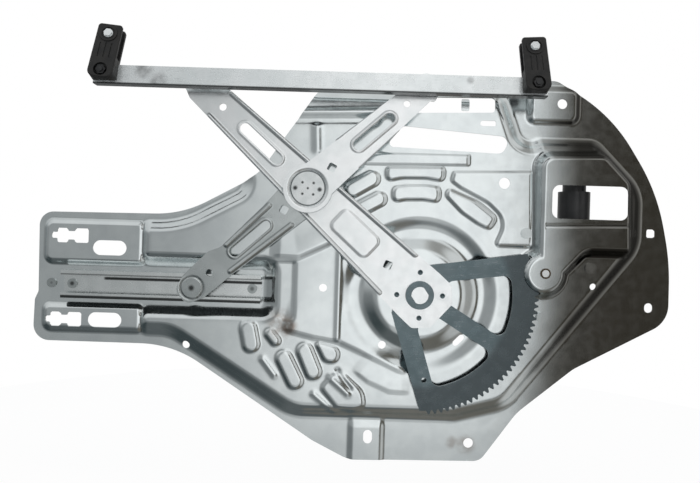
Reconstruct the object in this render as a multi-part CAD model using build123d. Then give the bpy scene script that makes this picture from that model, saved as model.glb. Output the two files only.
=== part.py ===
from build123d import *
import math
import os

# Door window regulator: a pressed carrier panel with an X-arm lift, a geared drive and a lift rail.
# All sizes are millimetres. Every piece is drawn as seen from the front: x right along the rail, y up
# and z towards the viewer, with z = 0 on the panel's rear face and x = y = 0 on the main pivot. The
# last section turns that drawing upright, so that up is Z and the front faces -Y.

# Linkage
HALF_ARM = 152.0  # main pivot to centre hub, and centre hub to each outer pin
REST_ANGLE = 42.0  # the arms' angle to the rail as stored
ARM_SHEET = 2.0
RIB_RISE = 2.5
RIB_WIDTH = 4.0
SWING_FIT = 0.05  # radial clearance of a pin or hub that turns in its hole
SHOE_FIT = 0.35  # clearance of a shoe to each wall of its channel

# Drive
MODULE = 2.0
SECTOR_TEETH = 117  # on the full circle
PINION_TEETH = 8
PINION_DIRECTION = 11.6  # from the main pivot to the pinion, degrees above the rail's direction
PRESSURE_ANGLE = 25.0
ADDENDUM = 0.8  # in modules
ROOT_CLEARANCE = 0.25  # in modules
PROFILE_SHIFT = 0.3  # in modules, plus on the pinion and minus on the sector
BACKLASH = 0.25
WORM_MODULE = 1.0
WORM_WHEEL_TEETH = 58
WORM_RADIUS = 6.0

# Heights above the panel's rear face
SHEET = 1.2
LOBE_LEVEL = 6.0
PLATEAU_LEVEL = 11.0
BEAD_RISE = 1.6
PIVOT_BOSS_LEVEL = 14.0
DISH_FLOOR_LEVEL = 6.5
BRIDGE_LEVEL = 24.0
REAR_ARM_BACK = 14.0
SECTOR_BACK = 16.5
SECTOR_SHEET = 3.0
FRONT_ARM_BACK = 25.5
RAIL_BACK = 30.5
RAIL_FRONT = 41.5
PRESS_SLOPE = 38.0  # draft of the pressed walls, degrees from the drawing direction

# Carrier panel
FLANGE_CORNERS = [  # outline as x, y, corner radius
    (-385.5, 72, 14), (-241, 73.5, 110), (-163, 116.5, 40), (-99, 211, 4), (135, 220, 15),
    (192, 186, 160), (240, 110, 200), (254.6, 40, 240), (255, -21, 28), (160, -72, 40),
    (104, -118, 60), (68, -168, 14), (-66, -170, 30), (-102.5, -152, 60), (-247, -59, 110),
    (-389, -58.5, 16), (-388, -17, 5), (-384.5, -9, 4),
]
PLATEAU_CORNERS = [  # foot of the raised centre
    (-283, 66, 12), (-243, 66, 90), (-172, 105, 30), (-104, 204, 12), (81, 206, 14), (101, 151, 14),
    (119, 159, 14), (176, 159, 20), (222, 112, 40), (222, 52, 40), (131, -64, 30), (93, -112, 40),
    (40, -126, 30), (-125, -126, 50), (-221, -66, 40), (-250, -48, 40), (-283, -48, 12),
    (-283, -21, 12), (-152, -21, 6), (-152, 22, 6), (-283, 22, 12),
]
UPPER_LOBE_CORNERS = [(-379, 65, 9), (-276, 65, 7), (-276, 20, 7), (-379, 20, 9)]
LOWER_LOBE_CORNERS = [(-379, -20, 7), (-276, -20, 7), (-276, -48, 7), (-379, -48, 9)]
CORNER_PAD = (106, 176, 158, 213)  # x and y from, x and y to, of the pad at the upper right
CORNER_PAD_LEVEL = 5.0
DISH_RADII = (75.0, 46.0)  # outer foot and inner foot of the ring pressed in round the pivot
TAB_RIVET = (-371, 0)

# Openings and holes of the panel
BOLT_HOLE_R = 5.0
CORNER_HOLE = (140, 196)
LOWER_HOLE = (56, -150)
EDGE_HOLE_X = 234.5
EDGE_HOLE_Y = (68.0, -7.5)
EDGE_HOLE_R = 4.4
LEFT_EDGE_HOLE = (-233, -58.5, 4.0)
SMALL_HOLES = [(-95.7, 3.7, 4.0), (-35, -51.6, 4.0), (82.3, 113.6, 5.6), (174.2, 12.8, 3.4)]
BOTTOM_SLOT = (-46.3, -146.3, 9, 14)  # x, y, width, height
DARK_SLOT = (41.9, -45.3, 14, 6, 45)  # x, y, length, width, turn
LOBE_SLOTS = [(-312, 37), (-315, -35.8)]
LOBE_SLOT_SIZE = (34, 15)
KEY_SLOTS = [(-352, 48.5), (-357, -36)]
KEY_SLOT_LENGTH = 37.0
KEY_SLOT_HEIGHT = 14.5
WINDOW = (164.5, 96, 75, 33, 7.5)  # x, y, width, height, corner radius
UPPER_OPENING = [(-28, 198, 3), (71, 200, 3), (71, 184, 3), (-22, 181, 3)]
LOWER_OPENING = [(-20, 168, 4), (88, 160, 7), (80, 143, 9), (-38, 147, 4)]

# Bridge over the pinion
BRIDGE_CORNERS = [  # foot on the plateau
    (112, 149, 10), (210, 149, 10), (214, 44, 6), (165, 44, 10), (135, 12, 0), (112, 12, 0),
]
BRIDGE_BOSS_R = 24.0
PINION_BUSH_R = 5.2

# Beads pressed up from the plateau: x, y, length, width, turn
BEADS = [
    (-4, 117, 58, 14, -2), (-4, 99, 46, 15, -2), (43, 82, 52, 14, -34), (-56, 118, 34, 15, 42),
    (-49, 97, 30, 14, 42), (-102, 163, 27, 10, -90), (-171, -45, 30, 13, 62),
    (-150, -46, 24, 13, 52), (-134, -75, 40, 16, 55), (-112, -68, 38, 16, 55), (-92, -58, 26, 14, 30),
]

# Fixed guide
GUIDE_X = (-358.0, -158.0)
GUIDE_SHEET = 1.5
GUIDE_HALF_HEIGHT = 14.0
GUIDE_DEPTH = 10.5
GUIDE_LIP = 3.6
GUIDE_RIVETS_X = (-349.5, -167.5)
RIVET_HEAD_R = 4.8
RIVET_SHANK_R = 3.0
RIVET_HEAD_RISE = 1.5

# Main arm, drawn along x from the pivot
ARM_ROOT_HALF_WIDTH = 29.0
ARM_TIP_HALF_WIDTH = 16.0
ARM_HEEL = 29.5
ARM_HEEL_CHAMFER = 13.0
ARM_RIB_START = 31.0
ARM_RIB_END = 272.0
ARM_SLOT = (216, 53, 10.5)  # middle, length, width
ARM_PAD = (88, 49, 26)  # middle, length, width of the pressed pad
ARM_PAD_RISE = 0.8
ARM_KEY_HOLE = (43.2, 8.0)
ARM_TIP_HOLE = (268.0, 3.7)

# Main pivot
PIVOT_R = 9.0
PIVOT_WASHER_R = 14.0
PIVOT_WASHER = 1.4
PIVOT_NECK_R = 6.5
PIVOT_HEAD_R = 8.35
PIVOT_HEAD_FLATS = 14.7
PIVOT_HEAD_RISE = 1.6
PIVOT_FLANGE_R = 13.0
PIVOT_SPIGOT_R = 6.0
PIVOT_TAIL_R = 9.5
PIVOT_TAIL = 1.4

# Sector gear: spoke edges as points on each edge, drawn in the stored position
SECTOR_RIM_INNER_R = 92.5
SECTOR_TOP_EDGE = [(8, 29.5), (108, 44.3)]
SECTOR_TOP_BAR_LOWER = [(20, 13.3), (96, 23.0)]
SECTOR_SPOKE_ANGLE = -31.5
SECTOR_SPOKE_WIDTH = 17.0
SECTOR_LEFT_EDGE = [(-26.8, -18.6), (4.5, -117.5)]
SECTOR_LEFT_BAR_INNER = [(-6.0, -16.5), (18.6, -97.5)]
SECTOR_HUB_R = 27.0
SECTOR_WINDOW_ROUND = 8.0
SECTOR_HOLE = (7.0, -84.0, 2.6)
SECTOR_RIVET_CIRCLE = 22.5
SECTOR_RIVET_R = 2.6

# Equaliser
HUB_R = 9.0
HUB_HEAD_R = 16.2
HUB_HEAD = 1.2
HUB_RECESS_DEPTH = 3.6
HUB_RECESS_R = 18.8
HUB_HEAD_FIT = 0.4
HUB_RECESS_WALL = 0.9
HUB_END_R = 24.0
FRONT_ARM_TIP_HALF_WIDTH = 17.5
FRONT_ARM_SLOT = (85, 50, 10.5)
FRONT_ARM_KEY_HOLE = (31.0, 8.0)
FRONT_ARM_TIP_HOLE = (127.0, 3.3)
FRONT_ARM_RIBS = (52, 104)
REAR_ARM_HUB_HALF_WIDTH = 22.5
REAR_ARM_TIP_HALF_WIDTH = 14.8
REAR_ARM_SLOT = (76, 50, 10.0)
REAR_ARM_KEY_HOLE = (32.0, 8.0)
REAR_ARM_TIP_HOLE = (129.0, 3.7)
REAR_ARM_RIBS = (26, 122)

# Pins and shoes
PIN_R = 3.6
PIN_HEAD_R = 9.3
PIN_HEAD = 1.4
PIN_REAR_HEAD = 0.4  # thin, to pass over the main pivot
PIN_COLLAR_R = 6.5
SHOE_LENGTH = 16.0
GUIDE_SHOE_LENGTH = 22.0
SHOE_HUB_R = 5.2
PIN_TAIL_R = 5.0
PIN_TAIL = 1.0

# Lift rail
RAIL_X = (-320.0, 114.5)
RAIL_HEIGHT = 18.0
RAIL_SHEET = 1.5
RAIL_LIP = 2.2
CLAMP_X = (-308.4, 101.8)
CLAMP_BOLT_ABOVE_RAIL_MID = 1.7

# Glass clamps, drawn with their lower bolt at the origin and leaning back from there
CLAMP_LEAN = 15.0
CLAMP_TURNS = (-5.5, 3.3)
CLAMP_WIDTH = 24.0
CLAMP_TOP_WIDTH = 23.0
CLAMP_BELOW = 11.5
CLAMP_HEEL = 7.3
CLAMP_HEEL_SLOPE = 14.0
CLAMP_ABOVE = 44.4
CLAMP_EDGE = 0.9
CLAMP_BOSS_R = 8.2
CLAMP_BOSS = 0.9
CLAMP_GROOVES = (-5.4, 0.0, 5.4)
CLAMP_GROOVE = (1.2, 0.6, 9.0, 24.0)  # width, depth, from and to
CLAMP_DEPTH = 13.4
CLAMP_BACK_SET = 0.5
GLASS_BOLT_HEIGHT = 34.0
GLASS_BOLT_ACROSS = 7.0
GLASS_BOLT_FLANGE_R = 4.3
GLASS_SLOT = 7.6
GLASS_SLOT_FLOOR = 11.0
GLASS_PAD = 0.8
FRONT_JAW = 3.2
STUD_R = 2.5
STUD_HEAD_R = 5.0
STUD_HEAD = 0.9
NUT_ACROSS = 8.0
NUT_HEIGHT = 4.0
COLLAR_R = 7.6

# Motor and gear housing behind the panel
HOUSING_R = 36.0
HOUSING_WALL = 2.5
HOUSING_BACK = -16.0
HOUSING_COVER = 2.0
LUG_R = 9.0
MOTOR_SCREWS = [(105.4, 64.2), (123.4, -19.0), (170.6, 31.6)]
SCREW_HEAD_R = 5.5
SCREW_HEAD = 2.8
SCREW_R = 3.0
SCREW_LENGTH = 14.0
WORM_LEVEL = -4.0
CAN_R = 15.8
CAN_WALL = 1.6
CAN_FROM = 60.0
CAN_TO = 108.0
CAN_END_R = 11.5
CAN_END = 8.0
SHAFT_R = 2.5
MAGNET = 3.0
MAGNET_GAP = 0.8
CONNECTOR_SIZE = (22, 16, 20)
CONNECTOR_Y = 43.0
BLADES_Y = (47.5, 53.5)

# Worked out from the sizes above
ARM_BACK = SECTOR_BACK + SECTOR_SHEET
ARM_FRONT = ARM_BACK + ARM_SHEET
REAR_ARM_FRONT = REAR_ARM_BACK + ARM_SHEET
FRONT_ARM_FRONT = FRONT_ARM_BACK + ARM_SHEET
TURN = math.radians(REST_ANGLE)
HUB = (-HALF_ARM * math.cos(TURN), HALF_ARM * math.sin(TURN))
PIN_A = (2 * HUB[0], 2 * HUB[1])
PIN_B = (2 * HUB[0], 0.0)
PIN_D = (0.0, 2 * HUB[1])
RAIL_MID = PIN_D[1]
SECTOR_PITCH_R = MODULE * SECTOR_TEETH / 2
PINION_PITCH_R = MODULE * PINION_TEETH / 2
PINION = (
    (SECTOR_PITCH_R + PINION_PITCH_R) * math.cos(math.radians(PINION_DIRECTION)),
    (SECTOR_PITCH_R + PINION_PITCH_R) * math.sin(math.radians(PINION_DIRECTION)),
)
SECTOR_TIP_R = SECTOR_PITCH_R + MODULE * (ADDENDUM - PROFILE_SHIFT)
SECTOR_ROOT_R = SECTOR_PITCH_R - MODULE * (ADDENDUM + ROOT_CLEARANCE + PROFILE_SHIFT)
WORM_WHEEL_R = WORM_MODULE * WORM_WHEEL_TEETH / 2
WORM_X = PINION[0] + WORM_WHEEL_R + WORM_RADIUS
GUIDE_BACK = SHEET
GUIDE_FRONT = GUIDE_BACK + GUIDE_DEPTH
HUB_FLOOR = FRONT_ARM_FRONT - HUB_RECESS_DEPTH
SLOPE_TAN = math.tan(math.radians(PRESS_SLOPE))
WALL_RUN = SHEET / math.cos(math.radians(PRESS_SLOPE))  # a wall's thickness measured level


# Drawing helpers
def rounded(corners):
    """A face through corners given as x, y and corner radius."""
    pairs = zip(corners, corners[1:] + corners[:1])
    if sum(a[0] * b[1] - b[0] * a[1] for a, b in pairs) < 0:
        corners = corners[::-1]  # anticlockwise, so that the face looks towards the viewer
    places = [Vector(x, y) for x, y, _ in corners]
    arcs = []
    for i, (_, _, r) in enumerate(corners):
        here, back, ahead = places[i], places[i - 1], places[(i + 1) % len(places)]
        u, v = (back - here).normalized(), (ahead - here).normalized()
        half = math.radians(u.get_angle(v)) / 2
        reach = r / math.tan(half)
        inward = (u + v).normalized() * (r / math.sin(half) - r)
        arcs.append((here + u * reach, here + inward, here + v * reach, r))
    edges = []
    for i, (start, middle, end, r) in enumerate(arcs):
        if r > 0:
            edges.append(ThreePointArc(start, middle, end))
        following = arcs[(i + 1) % len(arcs)][0]
        if (following - end).length > 1e-6:
            edges.append(Line(end, following))
    return make_face(Curve() + edges)


def up_from(sketch, low, high, draft=0.0):
    """The sketch raised from low to high, drawing in by the draft angle as it rises."""
    return Pos(0, 0, low) * extrude(sketch, high - low, taper=draft)


def rod(place, radius, low, high):
    return Pos(place[0], place[1], (low + high) / 2) * Cylinder(radius, high - low)


def cone(place, low_radius, high_radius, low, high):
    return Pos(place[0], place[1], (low + high) / 2) * Cone(low_radius, high_radius, high - low)


def block(x, y, z):
    """A box from pairs of limits."""
    size = [b - a for a, b in (x, y, z)]
    return Pos(*[(a + b) / 2 for a, b in (x, y, z)]) * Box(*size)


def obround(x, y, length, width, turn=0.0):
    return Pos(x, y) * Rot(0, 0, turn) * SlotOverall(length, width)


def hexagon(place, across, low, high, hole=0.0):
    nut = up_from(Pos(*place) * RegularPolygon(across / math.sqrt(3), 6), low, high)
    return nut - rod(place, hole, low - 1, high + 1) if hole else nut


def along(start, angle):
    """The place of a piece that is drawn along x from its first pin."""
    return Pos(start[0], start[1]) * Rot(0, 0, angle)


def smoothed(sketch, radius):
    """The sketch with its outward corners rounded."""
    return offset(offset(sketch, -radius, kind=Kind.INTERSECTION), radius, kind=Kind.ARC)


def rivet(place, low, high, head_r=RIVET_HEAD_R, shank_r=RIVET_SHANK_R):
    """A rivet through low to high, with a head in front and its tail set flush behind."""
    return rod(place, shank_r, low, high) + rod(place, head_r, high, high + RIVET_HEAD_RISE)


# Gear teeth
def tooth(module, teeth, shift, backlash):
    """One involute tooth about the x axis of a gear centred on the origin."""
    pitch_r = module * teeth / 2
    angle = math.radians(PRESSURE_ANGLE)
    base_r = pitch_r * math.cos(angle)
    root_r = pitch_r + module * (shift - ADDENDUM - ROOT_CLEARANCE)
    tip_r = pitch_r + module * (shift + ADDENDUM)
    involute = math.tan(angle) - angle
    half = math.pi / 2 / teeth + 2 * shift * math.tan(angle) / teeth - backlash / 4 / pitch_r
    start_r = max(base_r, root_r)
    flank = []
    steps = 6
    for i in range(steps + 1):
        r = start_r + (tip_r - start_r) * i / steps
        roll = math.acos(min(1.0, base_r / r))
        at = half + involute - (math.tan(roll) - roll)
        flank.append((r * math.cos(at), r * math.sin(at)))
    inner = root_r - module / 2
    at = math.atan2(flank[0][1], flank[0][0])
    foot = [(inner * math.cos(at), inner * math.sin(at))]
    side = foot + flank
    return make_face(Polyline(*side, *[(x, -y) for x, y in reversed(side)], close=True))


# Carrier panel
def pressed(corners, low, high):
    """The outside and the inside of a raised area of the panel."""
    face = rounded(corners)
    outside = up_from(face, low, high, PRESS_SLOPE)
    inside = up_from(offset(face, -WALL_RUN), low, high - SHEET, PRESS_SLOPE)
    return outside, inside


def bead(x, y, length, width, turn):
    outside = up_from(obround(x, y, length, width, turn), PLATEAU_LEVEL, PLATEAU_LEVEL + BEAD_RISE, PRESS_SLOPE)
    inner = obround(x, y, length - 2 * WALL_RUN, width - 2 * WALL_RUN, turn)
    return outside, up_from(inner, PLATEAU_LEVEL - SHEET, PLATEAU_LEVEL - SHEET + BEAD_RISE, PRESS_SLOPE)


def pivot_dish(shrink, drop):
    """The ring pressed down round the pivot, and the boss that stands in it."""
    outer, inner = DISH_RADII
    depth = PLATEAU_LEVEL - DISH_FLOOR_LEVEL
    rise = PIVOT_BOSS_LEVEL - DISH_FLOOR_LEVEL
    floor, top = DISH_FLOOR_LEVEL - drop, PLATEAU_LEVEL - drop
    ring = cone((0, 0), outer - depth * SLOPE_TAN + shrink, outer + shrink, floor, top)
    boss = cone((0, 0), inner - shrink, inner - shrink - rise * SLOPE_TAN, floor, floor + rise)
    return ring, boss


def key_slot(x, y):
    """The stepped slot that hooks on a headed stud."""
    end = -KEY_SLOT_LENGTH / 2
    shape = (
        Pos(end + 3, 0) * Rectangle(6.5, 6)
        + Pos(end + 11, 0) * RectangleRounded(11, KEY_SLOT_HEIGHT, 2)
        + Pos(end + 19.5, 0) * Rectangle(9, 8.5)
        + Pos(end + 30, 0) * RectangleRounded(14, KEY_SLOT_HEIGHT, 1.5)
    )
    return Pos(x, y) * shape


def panel_cuts():
    """Every hole and opening, as one flat drawing."""
    cuts = [Pos(*CORNER_HOLE) * Circle(BOLT_HOLE_R), Pos(*LOWER_HOLE) * Circle(BOLT_HOLE_R)]
    cuts += [Pos(EDGE_HOLE_X, y) * Circle(EDGE_HOLE_R) for y in EDGE_HOLE_Y]
    cuts += [Pos(x, y) * Circle(r) for x, y, r in [LEFT_EDGE_HOLE, *SMALL_HOLES]]
    cuts += [obround(x, y, *LOBE_SLOT_SIZE) for x, y in LOBE_SLOTS]
    cuts += [key_slot(x, y) for x, y in KEY_SLOTS]
    x, y, width, height = BOTTOM_SLOT
    cuts += [obround(x, y, height, width, 90), obround(*DARK_SLOT)]
    x, y, width, height, corner = WINDOW
    cuts += [Pos(x, y) * RectangleRounded(width, height, corner)]
    cuts += [rounded(UPPER_OPENING), rounded(LOWER_OPENING), Pos(*PINION) * Circle(PINION_BUSH_R)]
    cuts += [Circle(PIVOT_SPIGOT_R), Pos(*TAB_RIVET) * Circle(RIVET_SHANK_R)]
    cuts += [Pos(x, 0) * Circle(RIVET_SHANK_R) for x in GUIDE_RIVETS_X]
    cuts += [Pos(x, y) * Circle(SCREW_R + SWING_FIT) for x, y in MOTOR_SCREWS]
    return cuts


def module_panel():
    outside = up_from(rounded(FLANGE_CORNERS), 0, SHEET)
    inside = None
    plateaus = [
        (PLATEAU_CORNERS, PLATEAU_LEVEL), (UPPER_LOBE_CORNERS, LOBE_LEVEL),
        (LOWER_LOBE_CORNERS, LOBE_LEVEL),
    ]
    for corners, level in plateaus:
        out, hollow = pressed(corners, 0, level)
        outside += out
        inside = hollow if inside is None else inside + hollow
    x0, y0, x1, y1 = CORNER_PAD
    pad = [(x0, y0, 7), (x1, y0, 9), (x1, y1, 9), (x0, y1, 7)]
    out, hollow = pressed(pad, 0, CORNER_PAD_LEVEL)
    outside, inside = outside + out, inside + hollow
    ring, boss = pivot_dish(0, 0)
    outside = outside - ring + boss
    ring, boss = pivot_dish(WALL_RUN, SHEET)
    inside = inside - ring + boss
    for place in BEADS:
        out, hollow = bead(*place)
        outside, inside = outside + out, inside + hollow
    bridge = rounded(BRIDGE_CORNERS) + Pos(*PINION) * Circle(BRIDGE_BOSS_R)
    draft = PRESS_SLOPE / 2
    inset = SHEET / math.cos(math.radians(draft))
    outside += up_from(bridge, PLATEAU_LEVEL, BRIDGE_LEVEL, draft)
    inside += up_from(offset(bridge, -inset), PLATEAU_LEVEL - SHEET, BRIDGE_LEVEL - SHEET, draft)
    panel = outside - inside
    sweep = rod((0, 0), SECTOR_TIP_R + 1.5, SECTOR_BACK - 1.0, ARM_BACK + 1.0)
    for cut in panel_cuts():
        panel -= up_from(cut, -1, BRIDGE_LEVEL + 1)
    return panel - sweep


# Fixed guide
def fixed_guide_channel():
    half, sheet = GUIDE_HALF_HEIGHT, GUIDE_SHEET
    body = block(GUIDE_X, (-half, half), (GUIDE_BACK, GUIDE_FRONT))
    body -= block(
        (GUIDE_X[0] - 1, GUIDE_X[1] + 1), (sheet - half, half - sheet), (GUIDE_BACK + sheet, GUIDE_FRONT - sheet)
    )
    mouth = half - sheet - GUIDE_LIP
    body -= block((GUIDE_X[0] - 1, GUIDE_X[1] + 1), (-mouth, mouth), (GUIDE_FRONT - sheet - 1, GUIDE_FRONT + 1))
    for x in GUIDE_RIVETS_X:
        body -= rod((x, 0), RIVET_SHANK_R, 0, GUIDE_FRONT)
    return body


def guide_rivets():
    return Compound(children=[rivet((x, 0), 0, GUIDE_BACK + GUIDE_SHEET) for x in GUIDE_RIVETS_X])


def tab_rivet():
    return rivet(TAB_RIVET, 0, SHEET)


# Main pivot
def pivot_stud():
    """Riveted into the boss, with the journal for the arm and a flattened head over the washer."""
    neck_from = ARM_FRONT + 0.3
    head_from = neck_from + PIVOT_WASHER
    stud = rod((0, 0), PIVOT_FLANGE_R, PIVOT_BOSS_LEVEL, SECTOR_BACK - 0.3)
    stud += rod((0, 0), PIVOT_R, SECTOR_BACK - 0.3, neck_from)
    stud += rod((0, 0), PIVOT_NECK_R, neck_from, head_from)
    head = rod((0, 0), PIVOT_HEAD_R, head_from, head_from + PIVOT_HEAD_RISE)
    flats = Rot(0, 0, 35) * Box(PIVOT_HEAD_FLATS, 4 * PIVOT_HEAD_R, 100)
    stud += head & flats
    stud += rod((0, 0), PIVOT_SPIGOT_R, PIVOT_BOSS_LEVEL - SHEET, PIVOT_BOSS_LEVEL)
    tail = PIVOT_BOSS_LEVEL - SHEET
    return stud + rod((0, 0), PIVOT_TAIL_R, tail - PIVOT_TAIL, tail)


def pivot_washer():
    low = ARM_FRONT + 0.3
    ring = rod((0, 0), PIVOT_WASHER_R, low, low + PIVOT_WASHER)
    return ring - rod((0, 0), PIVOT_NECK_R, low - 1, low + PIVOT_WASHER + 1)


# Main arm and sector gear
def ribbed_arm(outline, low, ribs):
    """A flat arm with raised edges, drawn along x; ribs gives each rib's two ends."""
    arm = up_from(outline, low, low + ARM_SHEET)
    for start, end in ribs:
        reach = (end - start).length
        angle = math.degrees(math.atan2(end.Y - start.Y, end.X - start.X))
        middle = (start + end) * 0.5
        rib = obround(middle.X, middle.Y, reach, RIB_WIDTH, angle)
        arm += up_from(rib, low + ARM_SHEET - 0.5, low + ARM_SHEET + RIB_RISE, 15)
    return arm


def edge_ribs(first_x, last_x, root_half, tip_half, length):
    """Both ribs of an arm that narrows from root_half to tip_half over its length."""
    ribs = []
    for side in (1, -1):
        ends = []
        for x in (first_x, last_x):
            half = root_half + (tip_half - root_half) * x / length - RIB_WIDTH / 2
            ends.append(Vector(x, side * half))
        ribs.append(ends)
    return ribs


def square_hole(x, size):
    return Pos(x, 0) * Rot(0, 0, 20) * RectangleRounded(size, size, 1.5)


def slot_with_rim(middle, length, width, low):
    """A long slot and the rolled rim round it."""
    rim = obround(middle, 0, length + 5, width + 5) - obround(middle, 0, length, width)
    return up_from(rim, low + ARM_SHEET - 0.5, low + ARM_SHEET + 0.7)


def main_arm():
    length, root, tip = 2 * HALF_ARM, ARM_ROOT_HALF_WIDTH, ARM_TIP_HALF_WIDTH
    heel, cut = ARM_HEEL, ARM_HEEL_CHAMFER
    outline = rounded([
        (-heel, root - cut, 5), (cut - heel, root, 5), (0, root, 20), (length, tip, 0.5),
        (length + tip, tip - 6, 8), (length + tip, 6 - tip, 8), (length, -tip, 0.5), (0, -root, 20),
        (cut - heel, -root, 5), (-heel, cut - root, 5),
    ])
    arm = ribbed_arm(outline, ARM_BACK, edge_ribs(ARM_RIB_START, ARM_RIB_END, root, tip, length))
    middle, slot_length, width = ARM_SLOT
    arm += slot_with_rim(middle, slot_length, width, ARM_BACK)
    pad_x, pad_length, pad_width = ARM_PAD
    pad = Pos(pad_x, 0) * RectangleRounded(pad_length, pad_width, 7)
    arm += up_from(pad, ARM_FRONT - 0.5, ARM_FRONT + ARM_PAD_RISE, 30)
    cuts = Circle(PIVOT_R + SWING_FIT) + Pos(HALF_ARM, 0) * Circle(HUB_R + SWING_FIT)
    cuts += Pos(length, 0) * Circle(PIN_R) + Pos(ARM_TIP_HOLE[0], 0) * Circle(ARM_TIP_HOLE[1])
    cuts += obround(middle, 0, slot_length, width) + square_hole(*ARM_KEY_HOLE)
    arm = along((0, 0), 180 - REST_ANGLE) * (arm - up_from(cuts, ARM_BACK - 5, ARM_FRONT + 5))
    for place in sector_rivet_places():
        arm -= rod(place, SECTOR_RIVET_R, ARM_BACK - 1, ARM_FRONT + 1)
    return arm


def sector_rivet_places():
    return [
        (SECTOR_RIVET_CIRCLE * math.cos(math.radians(a)), SECTOR_RIVET_CIRCLE * math.sin(math.radians(a)))
        for a in (0, 90, 180, 270)
    ]


def sector_gear():
    pie = make_face(Polyline(
        SECTOR_LEFT_EDGE[0], SECTOR_LEFT_EDGE[1], (70, -190), (190, -70), (190, 60),
        SECTOR_TOP_EDGE[1], SECTOR_TOP_EDGE[0], (-20, 14), close=True,
    ))
    blank = (pie & Circle(SECTOR_ROOT_R)) + Circle(SECTOR_HUB_R)
    for i in range(SECTOR_TEETH):
        angle = PINION_DIRECTION + 360 * i / SECTOR_TEETH
        angle = angle - 360 if angle > 180 else angle
        top = math.degrees(math.atan2(SECTOR_TOP_EDGE[1][1], SECTOR_TOP_EDGE[1][0]))
        bottom = math.degrees(math.atan2(SECTOR_LEFT_EDGE[1][1], SECTOR_LEFT_EDGE[1][0]))
        if bottom + 1.5 < angle < top - 1.5:
            blank += Rot(0, 0, angle) * tooth(MODULE, SECTOR_TEETH, -PROFILE_SHIFT, BACKLASH)
    half = SECTOR_SPOKE_WIDTH / 2
    spoke = Rot(0, 0, SECTOR_SPOKE_ANGLE) * Pos(75, 0) * Rectangle(150, 2 * half)
    inner = Circle(SECTOR_RIM_INNER_R) - Circle(SECTOR_HUB_R)
    upper = make_face(Polyline((0, 0), (200, -120), (200, 36.3), *reversed(SECTOR_TOP_BAR_LOWER), close=True))
    lower = make_face(Polyline((0, 0), SECTOR_LEFT_BAR_INNER[0], SECTOR_LEFT_BAR_INNER[1], (45, -190),
                               (200, -120), close=True))
    for window in ((upper & inner) - spoke, (lower & inner) - spoke):
        for piece in window.faces():
            if piece.area > 500:
                blank -= smoothed(piece, SECTOR_WINDOW_ROUND)
    x, y, r = SECTOR_HOLE
    blank -= Circle(PIVOT_R + SWING_FIT) + Pos(x, y) * Circle(r)
    gear = up_from(blank, SECTOR_BACK, SECTOR_BACK + SECTOR_SHEET)
    for place in sector_rivet_places():
        gear -= rod(place, SECTOR_RIVET_R, SECTOR_BACK - 1, ARM_BACK + 1)
    return gear


def sector_rivets():
    """Flush rivets with dimpled ends."""
    rivets = []
    for place in sector_rivet_places():
        dimple = cone(place, 0.4, SECTOR_RIVET_R - 0.6, ARM_FRONT - 1.2, ARM_FRONT)
        rivets.append(rod(place, SECTOR_RIVET_R, SECTOR_BACK, ARM_FRONT) - dimple)
    return Compound(children=rivets)


# Equaliser
def equaliser_front_arm():
    length, root, tip = HALF_ARM, HUB_END_R, FRONT_ARM_TIP_HALF_WIDTH
    outline = rounded([
        (0, root - 1, 4), (length, tip, 0.5), (length + tip, tip - 6, 9), (length + tip, 6 - tip, 9),
        (length, -tip, 0.5), (0, 1 - root, 4),
    ]) + Circle(root)
    ribs = edge_ribs(*FRONT_ARM_RIBS, root, tip, length)
    arm = ribbed_arm(outline, FRONT_ARM_BACK, ribs)
    middle, slot_length, width = FRONT_ARM_SLOT
    arm += slot_with_rim(middle, slot_length, width, FRONT_ARM_BACK)
    floor = HUB_FLOOR - ARM_SHEET
    floor_r, wall = HUB_HEAD_R + HUB_HEAD_FIT, HUB_RECESS_WALL
    arm += cone((0, 0), floor_r + wall, HUB_RECESS_R + wall, floor, FRONT_ARM_BACK)
    arm -= cone((0, 0), floor_r, HUB_RECESS_R, HUB_FLOOR, FRONT_ARM_FRONT)
    cuts = Circle(HUB_R) + Pos(length, 0) * Circle(PIN_R)
    cuts += Pos(FRONT_ARM_TIP_HOLE[0], 0) * Circle(FRONT_ARM_TIP_HOLE[1])
    cuts += obround(middle, 0, slot_length, width) + square_hole(*FRONT_ARM_KEY_HOLE)
    return along(HUB, REST_ANGLE) * (arm - up_from(cuts, floor - 5, FRONT_ARM_FRONT + 5))


def equaliser_rear_arm():
    length, root, tip = HALF_ARM, REAR_ARM_HUB_HALF_WIDTH, REAR_ARM_TIP_HALF_WIDTH
    outline = rounded([(0, root, 4), (length, tip, 0.5), (length, -tip, 0.5), (0, -root, 4)])
    outline += Circle(root) + Pos(length, 0) * Circle(tip)
    arm = ribbed_arm(outline, REAR_ARM_BACK, edge_ribs(*REAR_ARM_RIBS, root, tip, length))
    middle, slot_length, width = REAR_ARM_SLOT
    arm += slot_with_rim(middle, slot_length, width, REAR_ARM_BACK)
    cuts = Circle(HUB_R) + Pos(length, 0) * Circle(PIN_R)
    cuts += Pos(REAR_ARM_TIP_HOLE[0], 0) * Circle(REAR_ARM_TIP_HOLE[1])
    cuts += obround(middle, 0, slot_length, width) + square_hole(*REAR_ARM_KEY_HOLE)
    arm -= up_from(cuts, REAR_ARM_BACK - 5, REAR_ARM_FRONT + 5)
    return along(HUB, 180 + REST_ANGLE) * arm


def centre_hub():
    """Joins the two equaliser halves and carries the main arm between them."""
    hub = rod((0, 0), HUB_R, REAR_ARM_BACK, HUB_FLOOR) + rod((0, 0), HUB_HEAD_R, HUB_FLOOR, HUB_FLOOR + HUB_HEAD)
    for side in (1, -1):
        hub -= rod((side * 12.0, 0), 1.8, HUB_FLOOR + 0.4, HUB_FLOOR + 2)
    return along(HUB, REST_ANGLE - 45) * hub


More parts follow.
